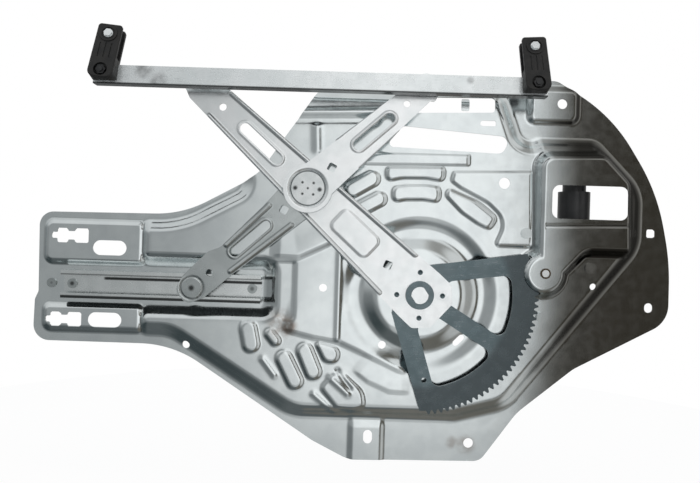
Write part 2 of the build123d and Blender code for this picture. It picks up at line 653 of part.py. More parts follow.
# Pins and shoes
def arm_pin(place, arm_back, arm_front, tip, collar_to):
    """A headed pin through an arm, with a collar in front and a journal for its shoe."""
    pin = rod(place, PIN_HEAD_R - 1.5, arm_back - PIN_REAR_HEAD, arm_back)
    pin += rod(place, PIN_R, arm_back, tip)
    if collar_to > arm_front:
        pin += rod(place, PIN_COLLAR_R, arm_front, collar_to)
    return pin + rod(place, PIN_TAIL_R, tip, tip + PIN_TAIL)


def shoe(place, length, height, low, high, hub_low, hub_high, tail_high):
    """A slider block on a pin: rounded ends, a collar hub and a recess for the pin's tail."""
    outline = Pos(*place) * RectangleRounded(length, height, min(length, height) * 0.35)
    body = up_from(outline, low, high) + rod(place, SHOE_HUB_R, hub_low, hub_high)
    body -= rod(place, PIN_R + SWING_FIT, min(low, hub_low) - 1, max(high, hub_high) + 1)
    return body - rod(place, PIN_TAIL_R + 0.3, *tail_high)


RAIL_CAVITY = (RAIL_BACK + RAIL_SHEET, RAIL_FRONT - RAIL_SHEET - STUD_HEAD - SHOE_FIT)
RAIL_SHOE_HEIGHT = RAIL_HEIGHT - 2 * RAIL_SHEET - 2 * SHOE_FIT
RAIL_SHOE = (RAIL_CAVITY[0] + SHOE_FIT, RAIL_CAVITY[1] - SHOE_FIT)
GUIDE_SHOE = (GUIDE_BACK + GUIDE_SHEET + SHOE_FIT, GUIDE_FRONT - GUIDE_SHEET - SHOE_FIT)
GUIDE_SHOE_HEIGHT = 2 * (GUIDE_HALF_HEIGHT - GUIDE_SHEET - SHOE_FIT)


def rail_shoe(place):
    recess = (RAIL_SHOE[1] - PIN_TAIL - 0.4, RAIL_SHOE[1] + 1)
    hub_from = RAIL_BACK - 1.0
    return shoe(place, SHOE_LENGTH, RAIL_SHOE_HEIGHT, *RAIL_SHOE, hub_from, RAIL_SHOE[0], recess)


def rail_pin(place, arm_back, arm_front):
    """The pin ends inside its shoe's recess, and its collar stops short of the shoe's hub."""
    tip = RAIL_SHOE[1] - PIN_TAIL - 0.2
    return arm_pin(place, arm_back, arm_front, tip, RAIL_BACK - 1.3)


def guide_shoe():
    recess = (GUIDE_SHOE[0] - 1, GUIDE_SHOE[0] + PIN_TAIL + 0.4)
    return shoe(PIN_B, GUIDE_SHOE_LENGTH, GUIDE_SHOE_HEIGHT, *GUIDE_SHOE, GUIDE_SHOE[1], GUIDE_FRONT + 1.0, recess)


def guide_pin():
    """The headed pin at the equaliser's lower end, pointing back into the guide."""
    tip = GUIDE_SHOE[0] + PIN_TAIL + 0.2
    pin = rod(PIN_B, PIN_HEAD_R, REAR_ARM_FRONT, REAR_ARM_FRONT + PIN_HEAD)
    pin += rod(PIN_B, PIN_R, tip, REAR_ARM_FRONT)
    pin += rod(PIN_B, PIN_COLLAR_R, GUIDE_FRONT + 1.3, REAR_ARM_BACK)
    pin += rod(PIN_B, PIN_TAIL_R, tip - PIN_TAIL, tip)
    return pin - rod(PIN_B, 1.6, REAR_ARM_FRONT + 0.6, REAR_ARM_FRONT + PIN_HEAD + 1)


# Lift rail
def lift_rail():
    half, sheet = RAIL_HEIGHT / 2, RAIL_SHEET
    rail = block(RAIL_X, (RAIL_MID - half, RAIL_MID + half), (RAIL_BACK, RAIL_FRONT))
    ends = (RAIL_X[0] - 1, RAIL_X[1] + 1)
    inner = half - sheet
    rail -= block(ends, (RAIL_MID - inner, RAIL_MID + inner), (RAIL_BACK + sheet, RAIL_FRONT - sheet))
    mouth = inner - RAIL_LIP + 0.6
    rail -= block(ends, (RAIL_MID - mouth, RAIL_MID + mouth), (RAIL_BACK - 1, RAIL_BACK + sheet + 1))
    for x in CLAMP_X:
        rail -= rod((x, RAIL_MID + CLAMP_BOLT_ABOVE_RAIL_MID), STUD_R, RAIL_FRONT - 5, RAIL_FRONT + 1)
    return rail


# Glass clamps
def clamp_place(x):
    """Where the clamp at x stands: turned a little in the rail's plane and leaning back from it."""
    foot = Pos(x, RAIL_MID + CLAMP_BOLT_ABOVE_RAIL_MID, RAIL_FRONT)
    return foot * Rot(0, 0, CLAMP_TURNS[CLAMP_X.index(x)]) * Rot(-CLAMP_LEAN, 0, 0)


def glass_clamp(x):
    """A moulded clamp: a U of two jaws for the glass, on a foot bolted to the rail."""
    half, top = CLAMP_WIDTH / 2, CLAMP_TOP_WIDTH / 2
    outline = rounded([
        (-half, -CLAMP_BELOW, 7), (half, -CLAMP_BELOW, 7), (top, CLAMP_ABOVE, 3), (-top, CLAMP_ABOVE, 3),
    ])
    front = CLAMP_DEPTH - CLAMP_BACK_SET
    body = up_from(outline, -CLAMP_BACK_SET - 6, front)
    body = chamfer(body.faces().sort_by(Axis.Z)[-1].edges(), CLAMP_EDGE)
    width, depth, low, high = CLAMP_GROOVE
    for at in CLAMP_GROOVES:
        body -= block((at - width / 2, at + width / 2), (low, high), (front - depth, front + 1))
    body += rod((0, GLASS_BOLT_HEIGHT), CLAMP_BOSS_R, front - 1, front + CLAMP_BOSS)
    body -= rod((0, GLASS_BOLT_HEIGHT), CLAMP_BOSS_R - 2, front, front + CLAMP_BOSS + 1)
    behind = block((-50, 50), (6, 80), (-40, -CLAMP_BACK_SET))
    slot_front = front - FRONT_JAW
    body -= behind
    body -= block((-50, 50), (GLASS_SLOT_FLOOR, 80), (slot_front - GLASS_SLOT, slot_front))
    body -= rod((0, GLASS_BOLT_HEIGHT), STUD_R + 0.2, -40, 40)
    placed = clamp_place(x) * body
    bolt = (x, RAIL_MID + CLAMP_BOLT_ABOVE_RAIL_MID)
    placed -= block((x - 50, x + 50), (0, RAIL_MID + RAIL_HEIGHT / 2 + 0.3), (0, RAIL_FRONT))
    heel = Pos(*bolt, RAIL_FRONT) * Rot(CLAMP_HEEL_SLOPE, 0, 0)
    placed -= heel * block((-50, 50), (-60, -CLAMP_HEEL), (-40, 60))
    placed -= rod(bolt, STUD_R + 0.2, RAIL_FRONT - 1, RAIL_FRONT + 40)
    return placed - rod(bolt, COLLAR_R - 1.2, RAIL_FRONT + 9, RAIL_FRONT + 40)


def clamp_studs():
    """Studs set in the rail's web, with thin heads behind it."""
    studs = []
    for x in CLAMP_X:
        place = (x, RAIL_MID + CLAMP_BOLT_ABOVE_RAIL_MID)
        back = RAIL_FRONT - RAIL_SHEET
        studs.append(rod(place, STUD_HEAD_R, back - STUD_HEAD, back) + rod(place, STUD_R, back, RAIL_FRONT + 15))
    return Compound(children=studs)


def clamp_nuts():
    low = RAIL_FRONT + 9
    nuts = []
    for x in CLAMP_X:
        place = (x, RAIL_MID + CLAMP_BOLT_ABOVE_RAIL_MID)
        nuts.append(hexagon(place, NUT_ACROSS, low, low + NUT_HEIGHT, STUD_R))
    return Compound(children=nuts)


def glass_bolts():
    front = CLAMP_DEPTH - CLAMP_BACK_SET
    bolts = []
    for x in CLAMP_X:
        place = (0, GLASS_BOLT_HEIGHT)
        bolt = rod(place, STUD_R, -CLAMP_BACK_SET - NUT_HEIGHT, front)
        bolt += rod(place, GLASS_BOLT_FLANGE_R, front, front + 0.8)
        bolt += hexagon(place, GLASS_BOLT_ACROSS, front + 0.8, front + 2.5)
        bolts.append(clamp_place(x) * bolt)
    return Compound(children=bolts)


def glass_nuts():
    nuts = []
    for x in CLAMP_X:
        low = -CLAMP_BACK_SET - NUT_HEIGHT + 1
        nut = hexagon((0, GLASS_BOLT_HEIGHT), NUT_ACROSS, low, -CLAMP_BACK_SET, STUD_R)
        nuts.append(clamp_place(x) * nut)
    return Compound(children=nuts)


def glass_pads():
    """Thin rubber liners on both jaws of each clamp."""
    front = CLAMP_DEPTH - CLAMP_BACK_SET - FRONT_JAW
    pads = []
    for x in CLAMP_X:
        for low in (front - GLASS_PAD, front - GLASS_SLOT):
            pad = block((-9.5, 9.5), (GLASS_SLOT_FLOOR + 1, CLAMP_ABOVE - 3), (low, low + GLASS_PAD))
            pads.append(clamp_place(x) * (pad - rod((0, GLASS_BOLT_HEIGHT), STUD_R + 0.2, -40, 40)))
    return Compound(children=pads)


# Drive behind the panel
MOUNT_FACE = PLATEAU_LEVEL - SHEET
HOUSING_FLOOR = HOUSING_BACK + HOUSING_COVER
WORM_WHEEL_LEVELS = (WORM_LEVEL - 4.0, WORM_LEVEL + 4.0)
HOUSING_NOSE_LEVEL = SECTOR_BACK - 3.0


def gear_housing():
    """A moulded cup round the worm wheel, with the worm's tunnel and three screw lugs."""
    shell = rod(PINION, HOUSING_R, HOUSING_FLOOR, MOUNT_FACE)
    tunnel_half = WORM_RADIUS + HOUSING_WALL + 1.5
    shell += block(
        (WORM_X - tunnel_half, WORM_X + tunnel_half), (PINION[1] - 30, CAN_FROM),
        (WORM_LEVEL - tunnel_half, WORM_LEVEL + tunnel_half),
    )
    for x, y in MOTOR_SCREWS:
        lug = Pos(x, y) * Circle(LUG_R) + Pos((x + PINION[0]) / 2, (y + PINION[1]) / 2) * Circle(LUG_R)
        shell += up_from(make_hull(lug.edges()), MOUNT_FACE - 8, MOUNT_FACE)
    shell -= rod(PINION, HOUSING_R - HOUSING_WALL, HOUSING_FLOOR - 1, MOUNT_FACE - 3)
    shell -= Pos(WORM_X, PINION[1], WORM_LEVEL) * Rot(90, 0, 0) * Cylinder(WORM_RADIUS + 1.5, 48)
    shell -= Pos(WORM_X, PINION[1], WORM_LEVEL) * Rot(90, 0, 0) * Cylinder(SHAFT_R + SWING_FIT, 200)
    shell += rod(PINION, 9, MOUNT_FACE - 3, HOUSING_NOSE_LEVEL)
    shell -= rod(PINION, 5 + SWING_FIT, HOUSING_FLOOR - 1, HOUSING_NOSE_LEVEL + 1)
    for place in MOTOR_SCREWS:
        shell -= rod(place, SCREW_R, MOUNT_FACE - SCREW_LENGTH, MOUNT_FACE + 1)
    return shell


def housing_cover():
    cover = rod(PINION, HOUSING_R, HOUSING_BACK, HOUSING_FLOOR)
    return cover - rod(PINION, 3 + SWING_FIT, HOUSING_BACK - 1, HOUSING_FLOOR + 1)


def worm_wheel():
    low, high = WORM_WHEEL_LEVELS
    blank = Circle(WORM_WHEEL_R - 1.0)
    for i in range(WORM_WHEEL_TEETH):
        at = 360 * (i + 0.5) / WORM_WHEEL_TEETH
        blank += Rot(0, 0, at) * Pos(WORM_WHEEL_R - 0.8, 0) * Rectangle(2.0, 1.4)
    wheel = up_from(Pos(*PINION) * blank, low, high)
    for i in range(6):
        at = math.radians(60 * i + 30)
        place = (PINION[0] + 17 * math.cos(at), PINION[1] + 17 * math.sin(at))
        wheel -= rod(place, 5, high - 5, high + 1)
    return wheel - rod(PINION, 5, low - 1, high + 1)


def pinion_shaft():
    """The output shaft with the pinion cut on it."""
    teeth = Circle(PINION_PITCH_R + MODULE * (PROFILE_SHIFT - ADDENDUM - ROOT_CLEARANCE))
    for i in range(PINION_TEETH):
        at = PINION_DIRECTION + 180 + 360 * (i + 0.5) / PINION_TEETH
        teeth += Rot(0, 0, at) * tooth(MODULE, PINION_TEETH, PROFILE_SHIFT, BACKLASH)
    shaft = up_from(Pos(*PINION) * teeth, SECTOR_BACK - 1.5, ARM_BACK + 1.0)
    shaft += rod(PINION, 5, WORM_WHEEL_LEVELS[0], SECTOR_BACK)
    shaft += rod(PINION, 3, HOUSING_BACK + 0.3, WORM_WHEEL_LEVELS[0])
    return shaft + rod(PINION, 3.5, ARM_BACK + 1.0, BRIDGE_LEVEL + 1.0)


def pinion_bush():
    """The flanged bush in the bridge that steadies the pinion's outer end."""
    bush = rod(PINION, PINION_BUSH_R, BRIDGE_LEVEL - SHEET, BRIDGE_LEVEL)
    bush += rod(PINION, PINION_BUSH_R + 1.5, BRIDGE_LEVEL - SHEET - 0.8, BRIDGE_LEVEL - SHEET)
    bush += rod(PINION, PINION_BUSH_R, BRIDGE_LEVEL, BRIDGE_LEVEL + 0.8)
    return bush - rod(PINION, 3.5 + SWING_FIT, BRIDGE_LEVEL - 5, BRIDGE_LEVEL + 5)


def motor_screws():
    screws = []
    for place in MOTOR_SCREWS:
        screw = rod(place, SCREW_R, MOUNT_FACE - SCREW_LENGTH + 2, PLATEAU_LEVEL)
        screw += rod(place, SCREW_HEAD_R, PLATEAU_LEVEL, PLATEAU_LEVEL + SCREW_HEAD)
        screws.append(screw)
    return Compound(children=screws)


def upright(radius, low, high):
    """A round bar on the motor's axis."""
    return Pos(WORM_X, (low + high) / 2, WORM_LEVEL) * Rot(90, 0, 0) * Cylinder(radius, high - low)


def motor_can():
    can = upright(CAN_R, CAN_FROM, CAN_TO) + upright(CAN_END_R, CAN_TO, CAN_TO + CAN_END)
    can -= upright(CAN_R - CAN_WALL, CAN_FROM - 1, CAN_TO - CAN_WALL)
    return can - upright(SHAFT_R + SWING_FIT, CAN_FROM, CAN_TO + CAN_END - 2)


def field_magnets():
    tube = upright(CAN_R - CAN_WALL, CAN_FROM + 9, CAN_TO - 8) - upright(CAN_R - CAN_WALL - MAGNET, 0, 200)
    gap = Pos(WORM_X, 80, WORM_LEVEL) * Box(6, 200, 60)
    return Compound(children=list((tube - gap).solids()))


def armature():
    """The rotor, its commutator, and the shaft that carries the worm."""
    core = upright(CAN_R - CAN_WALL - MAGNET - MAGNET_GAP, CAN_FROM + 10, CAN_TO - 9)
    shaft = upright(SHAFT_R, PINION[1] - 26, CAN_TO + CAN_END - 3)
    return core + shaft + upright(5, CAN_FROM + 3, CAN_FROM + 10)


def worm():
    body = upright(WORM_RADIUS - 1.3, PINION[1] - 14, PINION[1] + 14)
    return body - upright(SHAFT_R, -100, 200)


def motor_connector():
    """The cable inlet: an open shroud with a blade block inside."""
    width, height, depth = CONNECTOR_SIZE
    x1 = WORM_X + WORM_RADIUS + HOUSING_WALL + 1.5
    shroud = block((x1, x1 + width), (CONNECTOR_Y, CONNECTOR_Y + height), (WORM_LEVEL - depth / 2, WORM_LEVEL + depth / 2 - 2))
    hollow = block(
        (x1 + 6, x1 + width + 1), (CONNECTOR_Y + 2, CONNECTOR_Y + height - 2),
        (WORM_LEVEL - depth / 2 + 2, WORM_LEVEL + depth / 2 - 4),
    )
    inlet = shroud - hollow
    for y in BLADES_Y:
        inlet += block((x1 + 5, x1 + 17), (y, y + 1.2), (WORM_LEVEL - 3.5, WORM_LEVEL + 1.5))
    return inlet


# Nodes, each with the pieces it holds
NODES = {
    "module_panel": module_panel,
    "fixed_guide_channel": fixed_guide_channel,
    "guide_rivets": guide_rivets,
    "tab_rivet": tab_rivet,
    "pivot_stud": pivot_stud,
    "pivot_washer": pivot_washer,
    "main_arm": main_arm,
    "sector_gear": sector_gear,
    "sector_rivets": sector_rivets,
    "equaliser_front_arm": equaliser_front_arm,
    "equaliser_rear_arm": equaliser_rear_arm,
    "centre_hub": centre_hub,
    "main_arm_pin": lambda: rail_pin(PIN_A, ARM_BACK, ARM_FRONT),
    "front_arm_pin": lambda: rail_pin(PIN_D, FRONT_ARM_BACK, FRONT_ARM_FRONT),
    "rear_arm_pin": guide_pin,
    "rail_shoe_left": lambda: rail_shoe(PIN_A),
    "rail_shoe_right": lambda: rail_shoe(PIN_D),
    "guide_shoe": guide_shoe,
    "lift_rail": lift_rail,
    "glass_clamp_left": lambda: glass_clamp(CLAMP_X[0]),
    "glass_clamp_right": lambda: glass_clamp(CLAMP_X[1]),
    "clamp_studs": clamp_studs,
    "clamp_nuts": clamp_nuts,
    "glass_bolts": glass_bolts,
    "glass_nuts": glass_nuts,
    "glass_pads": glass_pads,
    "gear_housing": gear_housing,
    "housing_cover": housing_cover,
    "worm_wheel": worm_wheel,
    "pinion_shaft": pinion_shaft,
    "pinion_bush": pinion_bush,
    "motor_screws": motor_screws,
    "motor_can": motor_can,
    "field_magnets": field_magnets,
    "armature": armature,
    "worm": worm,
    "motor_connector": motor_connector,
}

# Upright, with the origin midway between the two edge holes, on the panel's rear face
UPRIGHT = Pos(-EDGE_HOLE_X, 0, -sum(EDGE_HOLE_Y) / 2) * Plane.XZ.location

os.makedirs("parts", exist_ok=True)
for node, build in NODES.items():
    export_step(UPRIGHT * build(), os.path.join("parts", node + ".step"))
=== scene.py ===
import math

import bpy
import numpy as np
from mathutils import Matrix, Vector


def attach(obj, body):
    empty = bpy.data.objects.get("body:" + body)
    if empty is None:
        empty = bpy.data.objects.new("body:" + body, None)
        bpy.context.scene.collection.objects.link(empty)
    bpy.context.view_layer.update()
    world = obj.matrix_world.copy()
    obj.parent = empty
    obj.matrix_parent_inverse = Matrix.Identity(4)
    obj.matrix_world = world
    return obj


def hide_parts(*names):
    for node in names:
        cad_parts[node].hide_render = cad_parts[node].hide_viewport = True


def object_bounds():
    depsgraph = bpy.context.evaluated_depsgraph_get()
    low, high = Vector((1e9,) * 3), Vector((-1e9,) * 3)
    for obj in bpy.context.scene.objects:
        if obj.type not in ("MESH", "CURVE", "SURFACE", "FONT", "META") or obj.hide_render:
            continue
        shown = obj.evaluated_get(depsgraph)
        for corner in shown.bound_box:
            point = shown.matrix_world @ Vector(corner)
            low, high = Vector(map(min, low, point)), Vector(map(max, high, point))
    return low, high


# Door window regulator, dressed over its CAD frame. Shapes are drawn in millimetres as seen from the
# front: x right along the rail, y up and z towards the viewer, with the main pivot at x = y = 0 and
# z = 0 on the panel's rear face. to_frame() turns such points into the frame's metres.

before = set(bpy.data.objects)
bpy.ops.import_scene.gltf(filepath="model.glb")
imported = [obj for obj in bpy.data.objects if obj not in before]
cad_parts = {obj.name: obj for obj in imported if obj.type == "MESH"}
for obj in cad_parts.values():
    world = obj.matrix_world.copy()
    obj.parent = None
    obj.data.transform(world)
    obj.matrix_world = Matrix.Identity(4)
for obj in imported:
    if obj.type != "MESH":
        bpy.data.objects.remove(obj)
cad_low, cad_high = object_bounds()

# The frame's origin in the drawing: midway between the two edge holes
ORIGIN = (234.5, 30.25)

# Levels and sizes shared with the CAD source
SHEET = 1.2
PLATEAU = 11.0
LOBE = 6.0
CORNER_PAD_LEVEL = 5.0
DISH_FLOOR = 6.5
PIVOT_BOSS = 14.0
BRIDGE = 24.0
ARM_SHEET = 2.0
REAR_ARM_FRONT = 16.0
MAIN_ARM_FRONT = 21.5
FRONT_ARM_FRONT = 27.5
HALF_ARM = 152.0
REST_ANGLE = 42.0
SECTOR_TIP_R = 118.0
SECTOR_GAP = (15.5, 20.5)
SECTOR_CLEARANCE = 1.5
PINION = (122.4, 25.1)
HUB = (-HALF_ARM * math.cos(math.radians(REST_ANGLE)), HALF_ARM * math.sin(math.radians(REST_ANGLE)))
REAR_PIN = (2 * HUB[0], 0)
TAB_RIVET = (-371, 0)
GUIDE_RIVETS = [(-349.5, 0), (-167.5, 0)]

# Carrier panel outlines as x, y and corner radius
FLANGE = [
    (-385.5, 72, 14), (-241, 73.5, 110), (-163, 116.5, 40), (-99, 211, 4), (135, 220, 15),
    (192, 186, 160), (240, 110, 200), (254.6, 40, 240), (255, -21, 28), (160, -72, 40),
    (104, -118, 60), (68, -168, 14), (-66, -170, 30), (-102.5, -152, 60), (-247, -59, 110),
    (-389, -58.5, 16), (-388, -17, 5), (-384.5, -9, 4),
]
PLATEAU_FOOT = [
    (-283, 66, 12), (-243, 66, 90), (-176, 102, 12), (-194, 140, 2), (-128, 240, 2), (-108, 206, 4),
    (81, 206, 14), (101, 151, 14), (119, 159, 14), (176, 159, 20), (222, 112, 40), (222, 52, 40),
    (131, -64, 30), (93, -112, 40), (40, -126, 30), (-125, -126, 50), (-221, -66, 40), (-250, -48, 40),
    (-283, -48, 12), (-283, -21, 12), (-152, -21, 6), (-152, 22, 6), (-283, 22, 12),
]
UPPER_LOBE = [(-379, 65, 9), (-276, 65, 7), (-276, 20, 7), (-379, 20, 9)]
LOWER_LOBE = [(-379, -20, 7), (-276, -20, 7), (-276, -48, 7), (-379, -48, 9)]
CORNER_PAD = [(106, 176, 7), (158, 176, 9), (158, 213, 9), (106, 213, 7)]
BRIDGE_FOOT = [
    (112, 145.5, 16), (183, 147.5, 16), (209, 119, 16), (211, 44, 6), (165, 44, 10), (135, 12, 0.5),
    (112, 12, 0.5),
]
BRIDGE_BOSS_R = 24.0

# Pressed walls: how wide each runs and how far its two bends are rounded. A name with PRESS has its rise
# before these.
PLATEAU_WALL = (10.0, 4.0)
LOBE_WALL = (3.8, 2.0)
CORNER_PAD_WALL = (3.2, 2.2)
BRIDGE_WALL = (5.5, 3.0)
BEAD_WALL = (2.0, 1.2)

# Dish round the pivot. It runs out into the plateau at the lower left: in one direction, so far to each
# side and fading so far beyond, in degrees, with this share of its depth left there.
DISH_R = 77
DISH_WALL = (10.0, 3.4)
DISH_OPEN_TURN = -155.0
DISH_OPEN_HALF = 22.0
DISH_OPEN_FADE = 45.0
DISH_OPEN_DEPTH = 0.25
BOSS_FOOT_R = 57
BOSS_WALL = (13.0, 4.0)

# Openings of the panel. Round holes are x, y and radius; slots are x, y, length, width, turn and
# corner radius, and have round ends where no radius is given.
UPPER_OPENING = [(-28, 198, 3), (71, 200, 3), (71, 184, 3), (-22, 181, 3)]
LOWER_OPENING = [(-20, 168, 4), (88, 160, 7), (80, 143, 9), (-38, 147, 4)]
OPENING_TAB = (41.2, 191.0, 8.0, 12.0, 0, 1.0)
ROUND_HOLES = [
    (140, 196, 5), (56, -150, 5), (-233, -58.5, 4), (-95.7, 3.7, 4), (-35, -51.6, 4), (82.3, 113.6, 5.6),
    (174.2, 12.8, 3.4), (0, 0, 6), (*PINION, 5.2), (*TAB_RIVET, 3),
] + [(*place, 3) for place in GUIDE_RIVETS]
SLOTS = [
    (234.5, 68, 8.4, 8.4, 0, 1.2), (234.5, -7.5, 8.4, 9.6, 0, 3.6), (-312, 37, 34, 15),
    (-315, -35.8, 34, 15), (-46.3, -146.3, 14, 9, 90), (41.9, -45.3, 14, 6, 45),
    (164.5, 96, 75, 33, 0, 7.5), (64.5, 173.1, 15.5, 5.4, 0, 0.6),
]
KEY_SLOT_HALF = [
    (-18.5, 3), (-13, 3), (-13, 7.25), (-2, 7.25), (-2, 4.25), (4.5, 4.25), (4.5, 7.25), (18.5, 7.25),
]
KEY_SLOT_CORNER = 0.8
KEY_SLOTS = [(-352, 48.5), (-357, -36)]

# Raised beads: x, y, length, width and turn, or an outline
BEAD_RISE = 1.9
BEADS = [
    (-167.5, -47, 33, 17.5, -78), (-144.5, -47, 20, 11, -50), (-126.8, -79, 42, 17, -62.5),
    (-107.5, -70, 39, 17, -66.5), (-59.5, 108.5, 38, 16.5, 31), (-50.5, 89.5, 34, 15.5, 29),
]
SHAPED_BEADS = [
    [(-104, -49, 3), (-77, -56, 8), (-78, -73, 8), (-93, -70, 9)],
    [(-36.5, 126.5, 4), (22.5, 128, 4), (22.5, 112.5, 6), (5, 115.5, 40), (-20, 115, 40), (-36.5, 111, 6)],
    [
        (-29.5, 107, 6), (-15, 109.2, 30), (5, 109.8, 30), (18.5, 108.3, 6), (18.5, 91.5, 6), (3, 94, 30),
        (-16, 93.4, 30), (-29.5, 90.5, 6),
    ],
    [
        (21.5, 101, 6), (27.5, 107, 4), (54, 96, 20), (76.5, 79, 6), (68.5, 66, 6), (56, 72, 16),
        (40, 82.5, 30),
    ],
]

# Low pads of the panel, and one hollow with a rise below 0: outline, rise, run of the wall and rounding
SLANTED_PAD = [(-97, -96, 7), (-78, -75, 12), (-52, -98, 20), (-50, -113, 5), (-62, -120, 5), (-79, -117, 8)]
STEP_PAD = [
    (31, 124.5, 3), (110.6, 127, 3), (112.5, 50, 3), (73, 50, 4), (84, 76, 18), (66, 93, 30), (38, 107, 20),
    (28, 114, 5),
]
STRIP = [(-62, 140.2, 2), (46.7, 141, 2), (47, 130, 2), (-58, 128, 2)]
HOLLOW = [(-150, 30, 4), (-123, 30, 4), (-123, -31, 4), (-150, -26, 4)]
LOW_PADS = [
    (STEP_PAD, 1.8, 2.4, 1.3), (STRIP, 1.3, 1.6, 0.9), (SLANTED_PAD, 1.5, 2.4, 1.4), (HOLLOW, -1.3, 2.6, 1.6),
]

# Shallow pad down the flange below the panel's middle
FLANGE_PAD_X = -48.0
FLANGE_PAD_HALF = 18.0
FLANGE_PAD_TOP = -122.0
FLANGE_PAD_FADE = 14.0
FLANGE_PAD_PRESS = (1.6, 3.6, 1.8)

# Steps of the panel along a line, higher on its left: line, rise and run. Each fades towards the line's
# ends and away from it.
RIDGE = [(-136, -39), (-104, -46.4), (-77.4, -50.5), (-49, -62.8), (-10, -80)]
UPPER_STEP = [(-150, 34), (-121, 33), (-92, 47), (-60, 66)]
CREASE = [(-65, -76.5), (-48.3, -89.1), (-26.7, -98.3), (-5.3, -99.3)]
LINE_STEPS = [(RIDGE, 1.4, 7.0), (UPPER_STEP, 1.8, 8.0), (CREASE, 0.7, 4.0)]
STEP_END_FADE = 10.0
STEP_SIDE_FADE = 22.0

# Grooves of the panel along a line, and ridges with a depth below 0: line, width and depth
SLIT = [(-79, -78.5), (-65.4, -96.2)]
MIDDLE_RIDGE = [(-80, -46), (-80, 40)]
UPPER_RIB = [(-106.5, 164), (-105.5, 142)]
UPPER_RIDGE = [(-135, 178.5), (-40, 182)]
UPPER_TROUGH = [(-130, 170.5), (-50, 173)]
BRIDGE_STEP = [(122, 72), (203, 74.5)]
FACETS = [((-154, -69), (-141.5, -85)), ((-102, -102.5), (-80.5, -120.5)), ((-86.5, -85), (-67.5, -101.5))]
LINE_GROOVES = [
    (SLIT, 4.0, 0.9), (MIDDLE_RIDGE, 5.0, -0.8), (UPPER_RIB, 8.0, -1.0), (UPPER_RIDGE, 6.0, -1.2),
    (UPPER_TROUGH, 9.0, 1.6), (BRIDGE_STEP, 2.6, 0.8),
] + [(facet, 5.0, -1.0) for facet in FACETS]

# Arms, drawn along x from their pins: outlines as x, y and corner radius, slots as x, y, length and width
MAIN_ARM = [
    (-29.5, 16, 5), (-16.5, 29, 5), (0, 29, 20), (298, 16, 3), (314, 9, 7), (314, -9, 7), (298, -16, 3),
    (0, -29, 20), (-16.5, -29, 5), (-29.5, -16, 5),
]
MAIN_ARM_SLOT = (216, 0, 53, 10.5)
MAIN_ARM_SMALL_HOLE = (268, 0, 3.7)
MAIN_ARM_SQUARE_X = 43.2
MAIN_ARM_PAD = (88, 0, 49, 26, 0, 7)
MAIN_ARM_PAD_RISE = 0.9
MAIN_ARM_RIBS = (31, 272, 29, 16)  # from and to x, then half the arm's width at its pin and at its tip
FRONT_ARM_HEAD_R = 24
FRONT_ARM_HEAD_POINTS = 60
FRONT_ARM_HEAD_PART = slice(9, 52)  # the points of the head's circle that lie outside the arm
FRONT_ARM_TIP = [(147, -17.5, 3), (163, -9.5, 7), (163, 9.5, 7), (147, 17.5, 3)]
FRONT_ARM_SLOT = (85, 0, 50, 10.5)
FRONT_ARM_SMALL_HOLE = (127, 0, 3.3)
FRONT_ARM_SQUARE_X = 31
FRONT_ARM_RIBS = (52, 104, 24, 17.5)
REAR_ARM = [
    (-19, -13, 12), (0, -22, 18), (46, -16, 30), (104, -12.4, 12), (116, -17.2, 6), (150, -15.2, 12),
    (166.5, -9, 9), (166.5, 9, 9), (150, 15.2, 12), (113, 15.8, 30), (0, 22, 18), (-19, 13, 12),
]
REAR_ARM_SLOT = (76, 0, 50, 10)
REAR_ARM_SMALL_HOLE = (129, 0, 3.7)
REAR_ARM_SQUARE_X = 32
REAR_ARM_RIBS = [[(40, -12.6), (98, -10.0)], [(36, 16.4), (112, 12.4)]]

# Holes, ribs, collars and recesses of the arms
BIG_HOLE_R = 9
PIN_HOLE_R = 3.6
SQUARE_HOLE = 8
SQUARE_HOLE_TURN = 20
SQUARE_HOLE_CORNER = 1.5
SECTOR_RIVET_CIRCLE_R = 22.5
SECTOR_RIVET_HOLE_R = 2.6
EDGE_RIB_INSET = 2.0
EDGE_RIB_HALF = 2.1
EDGE_RIB_PRESS = (1.6, 1.2, 0.9)
SLOT_COLLAR_MIDDLE = 1.2
SLOT_COLLAR_HALF = 1.4
SLOT_COLLAR_PRESS = (0.8, 0.9, 0.7)
ARM_PAD_WALL = (1.2, 1.0)
HUB_RECESS_R = 18.8
HUB_RECESS_PRESS = (-3.6, 2.2, 1.2)
PIN_RING_R = 11.2
PIN_RING_GROOVE = (1.8, 0.9)  # width and depth

# Marks in the centre hub: x and y from its middle, and reach
HUB_MARKS = [
    (-12.4, 0, 3.2), (11.6, -1, 3.2), (-5.4, 5.6, 1.9), (5.6, 5.2, 1.9), (-5.2, -5.6, 1.9), (5.4, -6, 1.9),
    (0, 0, 1.7),
]

# Grid lines of each mesh: runs along x and along y, as from, to and step. The panel's are finer where
# the sector goes through the bridge's wall.
PANEL_GRID = (
    [(-392, 104, 1.4), (104, 150, 0.7), (150, 258, 1.4)], [(-173, -2, 1.4), (-2, 30, 0.8), (30, 223, 1.4)],
)
MAIN_ARM_GRID = ([(-31, 322, 0.9)], [(-30.6, 30.6, 0.9)])
FRONT_ARM_GRID = ([(-25, 171, 0.8)], [(-25, 25, 0.8)])
REAR_ARM_GRID = ([(-23.5, 168, 0.8)], [(-23.5, 23.5, 0.8)])

# Reaches within which distances are worked out, steps at which slopes are, and limits of tones
HAIR = 0.01  # keeps the two corners of a round end apart
RELIEF_REACH = 15.0
HOLE_REACH = 6.0
FIELD_STEP = 0.05
HEIGHT_STEP = 0.15
BEND_REACH = 1.1
BEND_GAIN = 5.0
WALL_SLOPE_FROM = 0.12
WALL_SLOPE_RANGE = 0.6
EDGE_SNAP = 0.6
SNAP_ROUNDS = 3
LEAST_STEEPNESS = 0.05
SHARP_ANGLE = 50


